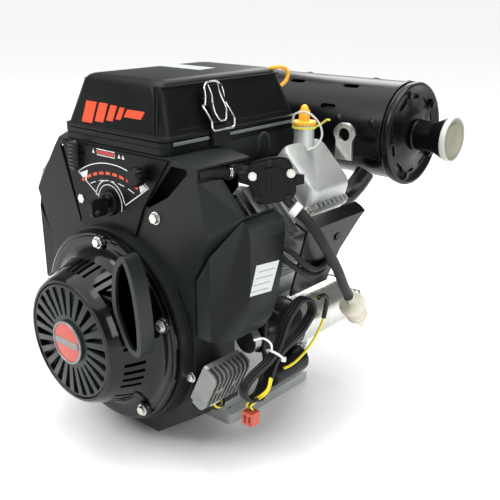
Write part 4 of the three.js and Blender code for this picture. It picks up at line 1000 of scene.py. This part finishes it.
def valve_covers():
    for name, (side, _) in BANKS.items():
        matrix = bank_matrix(name)

        def ring(low, high, front, rear, corner, z):
            span = across(side, low, high)
            return [(x, y, z) for x, y in rounded(span[0], span[1], front, rear, corner, 5)]

        foot = loft([ring(-58, 28, -42, 42, 10, VALVE_COVER),
                     ring(-58, 28, -42, 42, 10, VALVE_COVER + 5)])
        body = loft([ring(-56, 26, -40, 40, 9, VALVE_COVER + 4),
                     ring(-57, 22, -39.6, 40, 10, VALVE_COVER + 12),
                     ring(-59, 15.6, -39.2, 40, 12, VALVE_COVER + 25),
                     ring(-58, 12, -38, 39, 12, VALVE_COVER + 28.6),
                     ring(-54.5, 8, -34.5, 35.5, 10, VALVE_COVER + 30)])
        hollow = loft([ring(-50, 20, -34, 34, 6, VALVE_COVER - 1),
                       ring(-52, 8, -33, 34, 6, VALVE_COVER + 25)])
        joins = [placed(body, matrix)]
        cuts = [placed(hollow, matrix)]
        if side > 0:
            upright = Matrix.Rotation(math.radians(-45), 4, "Y")
            neck_place = matrix @ Matrix.Translation((-53, 8, VALVE_COVER + 20)) @ upright
            neck = turned([(0, -6), (15.5, -6), (13.4, 4), (12.6, 12), (12.6, 26), (13.6, 28), (13.6, 30),
                           (0, 30)], "z", sides=40)
            joins.append(placed(neck, neck_place))
            cuts.append(placed(disc("z", 9.5, -16, 31), neck_place))
        piece("valve_cover_%s_shell" % name, placed(foot, matrix), "cast",
              replaces=["valve_cover_" + name], joins=joins, cuts=cuts, bevel=1.1, segments=3, angle=26)
        details = []
        x0, x1 = across(side, -55, 10)
        frame_outer = [[(x, y, z) for x, y in rounded(x0 + 5, x1 - 5, -33, 34, 8, 5)]
                       for z in (VALVE_COVER + 29.8, VALVE_COVER + 31.2)]
        frame_inner = [[(x, y, z) for x, y in rounded(x0 + 7.4, x1 - 7.4, -30.6, 31.6, 6.5, 5)]
                       for z in (VALVE_COVER + 29.8, VALVE_COVER + 31.2)]
        details.append(loft_between(frame_outer, frame_inner))
        for y in range(-32, 38, 9):
            a, b = across(side, 21, 27.4)
            details.append(block(a, b, y - 0.9, y + 0.9, VALVE_COVER + 4.5, VALVE_COVER + 17))
        for a, b in ((-52, -36), (-52, 36), (22, -36), (22, 36)):
            details.append(disc("z", 6, VALVE_COVER + 1, VALVE_COVER + 7, (side * a, b), 24))
        piece("valve_cover_%s_ribs" % name, placed(together(*details), matrix), "cast", bevel=0.5)
        screws = []
        for a, b in ((-52, -36), (-52, 36), (22, -36), (22, 36)):
            screws.append(hexagon_bolt("z", (side * a, b, VALVE_COVER + 7), 8, 4, 6, outward=1))
        piece("valve_cover_%s_screws" % name, placed(together(*screws), matrix), "bolt", bevel=0.4)


def oil_cap():
    """The filler cap, the tether that keeps it and the loose tie round the neck."""
    matrix = bank_matrix("right")
    x, y, z = matrix @ Vector((-53, 8, VALVE_COVER + 20))
    seat = z + 30.4
    cap = turned([(0, seat - 34), (3, seat - 34), (4, seat - 14), (8.5, seat - 12), (8.5, seat),
                  (14.4, seat), (15, seat + 0.8), (15, seat + 3.4), (14, seat + 4.2), (6.6, seat + 5),
                  (5.6, seat + 7), (5.2, seat + 19), (4, seat + 22.4), (2, seat + 24), (0, seat + 24)],
                 "z", (x, y), 44)
    grips = [turned_by(block(x + 4.6, x + 7, y - 1.1, y + 1.1, seat + 5, seat + 17), 60 * i, "z",
                       (x, y, 0)) for i in range(6)]
    notches = [turned_by(block(x + 14.1, x + 16, y - 0.7, y + 0.7, seat - 1, seat + 5), 15 * i, "z",
                         (x, y, 0)) for i in range(24)]
    piece("oil_cap_body", cap, "orange", "oil_cap", ["oil_filler_cap"], joins=[together(*grips)],
          cuts=[together(*notches)], bevel=0.4)
    ring_on(Vector((x, y, seat - 3)), Vector((0, 0, 1)), 13.7, 15.2, 3, "oil_neck_strap", "strap")
    wire("oil_neck_strap_tail", [(x + 13, y + 4, seat - 3), (x + 24, y + 3, seat + 3),
                                 (x + 34, y, seat + 9), (x + 40, y - 3, seat + 10)], 1.3, "strap")
    loop = [(x - 9, y - 12, seat + 2), (x - 2, y - 17, seat + 14), (x + 14, y - 15, seat + 18),
            (x + 28, y - 10, seat + 8), (x + 32, y - 6, seat - 8), (x + 26, y - 8, seat - 22),
            (x + 16, y - 14, seat - 28)]
    wire("oil_neck_tie", loop, 1.3, "clear")


valve_covers()
oil_cap()


# --- fuel pump and hoses ------------------------------------------------------------------------------

PUMP_MATRIX = Matrix.Translation((177, -62, 351)) @ Matrix.Rotation(0.66, 4, "Z")
PULSE_HOSE = [(141, -145.5, 363), (140.5, -128, 363), (139.8, -112, 361), (140, -100, 358.5),
              (142.5, -90, 356)]


def pump():
    def cushion(radius, y0, y1, power=4.0, lean=0.2):
        """A round-cornered square across the pump's own Y axis."""
        points = []
        for i in range(72):
            angle = 2 * math.pi * i / 72
            across, up = abs(math.cos(angle - lean)), abs(math.sin(angle - lean))
            reach = radius * (across ** power + up ** power) ** (-1 / power)
            points.append((reach * math.cos(angle), reach * math.sin(angle)))
        return prism(points, "y", y0, y1)

    body = cushion(24.5, -11.6, -0.4)
    seam = cushion(25.6, -12.6, -10.6)
    lid = cushion(23.2, -17, -12)
    crown = cushion(16, -20.4, -16.6, 3.2)
    back = turned([(0, -0.8), (20.5, -0.8), (20.5, 6), (17, 9), (0, 9)], "y", sides=48)
    ribs = [block(-14 + 7 * i, -12.4 + 7 * i, -21.4, -20, -11, 11) for i in range(5)]
    arms = [prism([(20, -8), (36, -4), (36, 6), (22, 8)], "y", -8, -3),
            prism([(-37, -4), (-22, -8), (-22, 8), (-37, 6)], "y", -8, -3)]
    piece("fuel_pump_body", placed(body, PUMP_MATRIX), "plastic", replaces=["fuel_pump"],
          joins=[placed(shape, PUMP_MATRIX) for shape in (seam, lid, crown, back)], bevel=0.9, segments=3)
    piece("fuel_pump_ribs", placed(together(*ribs, *arms), PUMP_MATRIX), "plastic", bevel=0.5)
    screws = [hexagon_bolt("y", (a, -17, b), 7, 3, 5) for a, b in ((-21, 6), (21, 10))]
    piece("fuel_pump_screws", placed(together(*screws), PUMP_MATRIX), "bolt", bevel=0.4)
    dark = [hexagon_bolt("y", (a, -17, b), 5, 2.2, 3.8) for a, b in ((-17, -19), (19, -17), (-3, 21))]
    piece("fuel_pump_small_screws", placed(together(*dark), PUMP_MATRIX), "enamel", bevel=0.3)
    inlet = PUMP_MATRIX @ Vector((-20, -2, 0)), PUMP_MATRIX @ Vector((-37, 2, 3))
    outlet = PUMP_MATRIX @ Vector((10, -5, -18)), PUMP_MATRIX @ Vector((22, -4.4, -30))
    wire("fuel_pump_inlet", inlet, 4.5, "plastic", smooth=False)
    wire("fuel_pump_outlet", outlet, 4.5, "plastic", smooth=False)
    wire("pulse_hose_tube", PULSE_HOSE, 6.2, "rubber", replaces=["pulse_hose"])
    coil = []
    start, end = Vector(PULSE_HOSE[-2]), Vector(PULSE_HOSE[-1])
    spin = (end - start).normalized().to_track_quat("Z", "Y").to_matrix()
    for i in range(37):
        angle = 2 * math.pi * 2.3 * i / 36
        around = spin @ Vector((7.4 * math.cos(angle), 7.4 * math.sin(angle), 0))
        coil.append(start.lerp(end, 0.2 + 0.014 * i) + around)
    wire("pulse_hose_clamp", coil, 0.9, "chrome", smooth=False)
    wire("loom_upper", [(122, -60, 352), (110, -50, 346), (103, -30, 341), (101, 0, 339), (98, 40, 340),
                        (90, 78, 342)], 6.5, "rubber")
    wire("loom_lower", [(126, -60, 344), (116, -44, 336), (108, -24, 331), (101, 4, 328), (84, 30, 330),
                        (62, 44, 334)], 4.0, "rubber")
    wire("breather_loop", [(128, -30, 372), (130, -31, 384), (131, -24, 391), (131, -16, 386),
                           (131, -13, 372)], 1.6, "rubber")


pump()


# --- exhaust ------------------------------------------------------------------------------------------

def lozenge(length, width, steps=6):
    """A slot's outline: two half circles and the straights between them."""
    half, radius = (length - width) / 2, width / 2
    return arc(half, 0, radius, -90, 90, steps) + arc(-half, 0, radius, 90, 270, steps)


def exhaust():
    y, z, radius, right = MUFFLER["y"], MUFFLER["z"], MUFFLER["radius"], MUFFLER["right"]
    wrap = [math.radians(-24 + 3.3 * i) for i in range(73)]

    def skin(r, order):
        return [(y - r * math.cos(t), z + r * math.sin(t)) for t in order]

    def past_can(profile, sides=96):
        """A turned shape on the muffler's axis, with its places measured from the can's right end."""
        return turned([(r, right + out) for r, out in profile], "x", (y, z), sides)

    section = skin(radius + 4.8, wrap) + skin(radius + 3.2, reversed(wrap))
    slots = []
    for start in (-80, 10, 100):
        for row, angle in enumerate((30, 62, 94)):
            slot = prism(lozenge(24, 7), "z", radius - 2, radius + 8)
            slot = moved(slot, (start + 12 + 18 * row, 0, 0))
            slots.append(moved(turned_by(slot, 90 - angle, "x"), (0, y, z)))
    piece("muffler_shield", prism(section, "x", -106, 200), "enamel", replaces=["heat_shield"],
          cuts=[together(*slots)], bevel=0.4)
    can = turned([(0, -120), (18, -120), (20, -121.4), (40, -121.4), (42, -120), (56, -120), (60, -118),
                  (62, -114), (62, right), (60, right), (60, -112), (0, -117)], "x", (y, z), 96)
    strut = prism([(124, 280), (156, 306), (168, 318), (162, 322), (150, 312), (124, 288)], "x", -12, 12)
    piece("muffler_can", can, "enamel", replaces=["muffler_body"], joins=[strut], bevel=0.5)
    rib = skin(radius + 5.6, wrap) + skin(radius + 4.6, reversed(wrap))
    edges = [prism(rib, "x", start, end) for start, end in ((196, 200), (-106, -103))]
    piece("muffler_shield_edges", together(*edges), "enamel", bevel=0.4)
    screws = []
    for x in (-60, 20, 134, 186):
        for angle in (18, 112):
            reach = radius + 4.6
            head = turned([(0, 0), (5.6, 0), (5.6, 0.8), (4.4, 2.6), (2, 3.4), (0, 3.4)], "z", sides=28)
            head = moved(head, (x, 0, reach))
            screws.append(moved(turned_by(head, 90 - angle, "x"), (0, y, z)))
    piece("muffler_shield_screws", together(*screws), "enamel", bevel=0.3)

    lid = past_can([(20, 0.4), (radius + 4, 0.4), (radius + 5.4, 1.6), (radius + 5.6, 5),
                    (radius + 4.4, 7.4), (radius + 1.6, 8), (radius - 2, 6.6), (radius - 6, 3.4),
                    (radius - 9, 3), (radius - 13, 4.6), (34, 5.4), (30, 8), (24, 9.4), (20, 9.4)])
    cuts = []
    for i in range(10):
        slot = prism(lozenge(17, 4.2), "x", right + 1.5, right + 12)
        slot = moved(slot, (0, y, z + radius - 13.4))
        cuts.append(turned_by(slot, 36 * i, "x", (0, y, z)))
    piece("muffler_lid", lid, "enamel", replaces=["muffler_end_cap"], cuts=[together(*cuts)], bevel=0.4)
    rim = past_can([(radius + 1, -4.4), (radius + 3.4, -4.4), (radius + 4.2, -3), (radius + 3.4, -0.6),
                    (radius + 1, -0.6)])
    piece("muffler_seam", rim, "enamel", bevel=0.3)
    heads = []
    for i in range(5):
        head = hexagon_bolt("x", (right + 6.4, y, z + radius - 7), 8, 4, 6, outward=1)
        heads.append(turned_by(head, 72 * i + 20, "x", (0, y, z)))
    piece("muffler_lid_screws", together(*heads), "enamel", bevel=0.4)
    pipe = past_can([(16, -30), (19, -30), (19, 10), (21, 13), (19.6, 15), (19.4, 36), (20.6, 41),
                     (26.4, 53), (27.4, 56.4), (26, 57), (16.5, 38)], 64)
    piece("tail_pipe_tube", pipe, "enamel", replaces=["tail_pipe"], bevel=0.3)
    cap = past_can([(0, 56), (23, 56), (23, 57.6), (26.6, 57.6), (27.4, 60), (26.6, 63.4), (22, 62.4),
                    (20, 64.6), (6, 65.6), (0, 65.8)], 64)
    piece("outlet_cap_disc", cap, "cap_cream", "tail_cap", ["tail_pipe_cap"], bevel=0.4)
    lip = past_can([(26.4, 57.6), (28.4, 57.6), (29, 60), (28.6, 64.4), (27, 65), (26.4, 63.4)], 64)
    piece("outlet_cap_lip", lip, "cap_rim", "tail_cap", bevel=0.3)


exhaust()


# --- starting and charging ----------------------------------------------------------------------------

def starter():
    x, z, radius = STARTER["x"], STARTER["z"], STARTER["radius"]
    tube = turned([(0, 10), (radius - 2, 10), (radius - 2, 11.6), (radius, 12), (radius, 112),
                   (radius - 1.4, 113.4), (radius - 1.4, 117), (radius, 118), (radius - 0.6, 120.6),
                   (radius - 5, 124.6), (0, 125)], "y", (x, z), 72)
    tab = block(x + 8, x + 44, 122, 126, z + 12, z + 22)
    hole = disc("y", 3, 120, 130, (x + 38, z + 17), 20)
    piece("starter_tube", tube, "zinc", replaces=["starter_motor"], joins=[tab], cuts=[hole], bevel=0.5)
    nose = turned([(0, -50), (20, -50), (22, -48.6), (23, -42), (28, -36), (31, -31), (radius - 1, -28),
                   (radius, -26), (radius, 8), (radius - 1, 10.6), (0, 10.6)], "y", (x, z), 72)
    piece("starter_nose", nose, "enamel", bevel=0.5)
    through = []
    for angle in (35, 215):
        at = (x + 30 * math.cos(math.radians(angle)), z + 30 * math.sin(math.radians(angle)))
        through.append(hexagon_bolt("y", (at[0], 121, at[1]), 7, 4.4, 5, outward=1))
    piece("starter_bolts", together(*through), "bolt", bevel=0.4)
    can = turned([(0, -40), (15.6, -40), (17.4, -38.6), (18, -36), (18, 24), (16, 27), (12, 28.6),
                  (0, 29)], "y", (154, 85), 56)
    piece("solenoid_can", can, "enamel", replaces=["starter_solenoid"], bevel=0.5)
    studs = []
    for height in (88, 99):
        studs.append(disc("y", 3.4, 27, 40, (154, height), 20))
        studs.append(hexagon_bolt("y", (154, 31, height), 9, 4, outward=1))
    piece("solenoid_studs", together(*studs), "bolt", bevel=0.3)


def regulator():
    matrix = Matrix.Translation((141.4, -128, 120.3)) @ Matrix.Rotation(0.44, 4, "Y")
    plate = prism(rounded(-30, 30, -29, 29, 5), "x", 4, 10)
    fins = []
    for i in range(9):
        front = -30 + 7.2 * i
        fin = [(9, -29), (21, -29), (25, -27), (28, -21), (28, 21), (25, 27), (21, 29), (9, 29)]
        fins.append(prism(fin, "y", front, front + 2.4))
    piece("regulator_body", placed(plate, matrix), "fin", replaces=["voltage_regulator"],
          joins=[placed(together(*fins), matrix)], bevel=0.5)
    saddles = [placed(disc("x", 8.6, 9, 22, (-12.4 + 25.2 * i, 0), 28), matrix) for i in range(2)]
    piece("regulator_saddles", together(*saddles), "fin", bevel=0.5)
    bolts = [placed(hexagon_bolt("x", (22, -12.4 + 25.2 * i, 0), 9, 5, 6.4, outward=1), matrix)
             for i in range(2)]
    piece("regulator_bolts", together(*bolts), "bolt", bevel=0.4)
    plug = placed(block(10, 22, -8, 8, -37, -29.4), matrix)
    piece("regulator_plug", plug, "white", bevel=0.8)
    for i in range(3):
        start = matrix @ Vector((16, -5 + 5 * i, -37))
        wire("regulator_wire_%d" % i, [start, start + Vector((4, 3, -8)), start + Vector((0, 16, -14)),
                                       start + Vector((-14, 30, -6))], 1.4,
             "yellow" if i == 1 else "sleeve")


starter()
regulator()


# --- ignition leads and baffles -----------------------------------------------------------------------

def oil_filter():
    body = turned([(0, -174), (24, -174), (31, -173), (35.6, -170), (37, -166), (37, -110), (36, -106.4),
                   (34, -103), (0, -103)], "x", (30, 92), 72)
    flutes = []
    for i in range(14):
        flute = disc("x", 4.2, -177, -150, (30 + 40.4, 92), 20)
        flutes.append(turned_by(flute, 360 / 14 * i, "x", (0, 30, 92)))
    piece("oil_filter_can", body, "enamel", replaces=["oil_filter"], cuts=[together(*flutes)], bevel=0.5)


def leads():
    wire("ignition_lead_top", [(180, -58, 272), (200, -54, 266), (211, -44, 252), (212, -26, 240),
                               (208, -4, 236), (204, 14, 238)], 3.4, "rubber")
    wire("ignition_lead_low", [(178, -58, 262), (198, -52, 250), (208, -36, 236), (207, -14, 228),
                               (203, 8, 230)], 3.4, "rubber")
    boot = [(204, 12, 237), (202, 20, 240), (197, 30, 245)]
    wire("ignition_boot", boot, 6.4, "rubber")
    heads = [hexagon_bolt("x", (at[0], at[1], at[2]), 9, 4, 7, outward=1)
             for at in ((209, 21, 270), (203, -30, 245))]
    piece("baffle_bolts", together(*heads), "enamel", bevel=0.4)


def refined(node, material, bevel=0.6, body="root", angle=30):
    """A finished copy of a CAD node that keeps its shape and gains rounded edges."""
    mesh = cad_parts[node].data.copy()
    build = bmesh.new()
    build.from_mesh(mesh)
    bmesh.ops.remove_doubles(build, verts=build.verts, dist=2e-6)
    bmesh.ops.dissolve_limit(build, angle_limit=math.radians(1.5), verts=build.verts, edges=build.edges)
    build.to_mesh(mesh)
    build.free()
    obj = bpy.data.objects.new(node + "_finished", mesh)
    bpy.context.scene.collection.objects.link(obj)
    soften(obj, bevel, 2, angle)
    mesh.materials.clear()
    mesh.materials.append(MAT[material])
    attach(obj, body)
    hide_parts(node)


def inner_parts():
    finishes = {
        "cast": ["crankcase", "crankcase_cover", "cylinder_right", "cylinder_left", "cylinder_head_right",
                 "cylinder_head_left", "carburettor", "intake_manifold", "piston_right", "piston_left"],
        "steel": ["crankpin", "connecting_rod_right", "connecting_rod_left"],
        "enamel": ["cylinder_baffle_right", "cylinder_baffle_left", "exhaust_pipe_right",
                   "exhaust_pipe_left"],
        "zinc": ["lifting_eye"],
        "paper": ["filter_element"],
    }
    for material, nodes in finishes.items():
        for node in nodes:
            refined(node, material)
    for node, material, body in (("crankshaft_front", "steel", "crank"),
                                 ("crankshaft_rear", "steel", "crank"), ("flywheel", "steel", "crank"),
                                 ("cooling_fan", "plastic", "crank"), ("starter_cup", "enamel", "crank"),
                                 ("camshaft", "steel", "cam"), ("rope_spool", "grip", "spool"),
                                 ("starter_pinion", "steel", "pinion")):
        refined(node, material, 0.4, body)
    bolts = []
    for angle in range(20, 380, 40):
        reach = 84 if 60 < angle % 180 < 120 else 88
        x, z = reach * math.cos(math.radians(angle)), CRANK_Z + 0.98 * reach * math.sin(math.radians(angle))
        if z < 235:
            bolts.append(hexagon_bolt("y", (x, 120, z), 10, 5, 7.5, outward=1))
    piece("crankcase_bolts", together(*bolts), "bolt", bevel=0.4)


oil_filter()
leads()
inner_parts()


# --- floor and light ----------------------------------------------------------------------------------

def studio():
    slab = block(-60000, 60000, -60000, 60000, -6, -0.4)
    floor = bpy.data.objects.new("studio_floor", mesh_from("studio_floor", slab))
    bpy.context.scene.collection.objects.link(floor)
    floor.data.materials.append(surface("studio_floor", (0.90, 0.90, 0.90), (0.94, 0.94, 0.94), 0.75,
                                        grain=300, bump=0.01))
    for name, place, size, power in (("key", (-0.7, -2.0, 2.0), (1.4, 0.9), 26),
                                     ("top", (0.2, 0.3, 2.4), (1.4, 1.4), 26),
                                     ("side", (2.3, -0.4, 1.3), (0.9, 1.4), 22),
                                     ("rear", (-0.9, 2.0, 1.6), (1.2, 1.0), 20)):
        data = bpy.data.lights.new(name + "_light", "AREA")
        data.shape = "RECTANGLE"
        data.size, data.size_y = size
        data.energy = power
        light = bpy.data.objects.new(name + "_light", data)
        light.location = place
        light.rotation_mode = "QUATERNION"
        light.rotation_quaternion = (Vector((0, 0, 0.2)) - Vector(place)).to_track_quat("-Z", "Y")
        bpy.context.scene.collection.objects.link(light)
    sky = bpy.data.lights.new("overhead_light", "SUN")
    sky.energy = 2.6
    sky.angle = math.radians(80)
    overhead = bpy.data.objects.new("overhead_light", sky)
    overhead.rotation_euler = (math.radians(8), math.radians(-10), 0)
    bpy.context.scene.collection.objects.link(overhead)
    world = bpy.data.worlds.new("studio")
    world.use_nodes = True
    nodes, links = world.node_tree.nodes, world.node_tree.links
    nodes["Background"].inputs["Color"].default_value = (1, 1, 1, 1)
    where = nodes.new("ShaderNodeTexCoord")
    split = nodes.new("ShaderNodeSeparateXYZ")
    fade = nodes.new("ShaderNodeMapRange")
    fade.inputs["From Min"].default_value = 0.04
    fade.inputs["From Max"].default_value = 0.14
    fade.inputs["To Min"].default_value = 1.0
    fade.inputs["To Max"].default_value = 0.24
    links.new(where.outputs["Generated"], split.inputs["Vector"])
    links.new(split.outputs["Z"], fade.inputs["Value"])
    links.new(fade.outputs["Result"], nodes["Background"].inputs["Strength"])
    bpy.context.scene.world = world
    bpy.context.scene.view_settings.view_transform = "Standard"


studio()
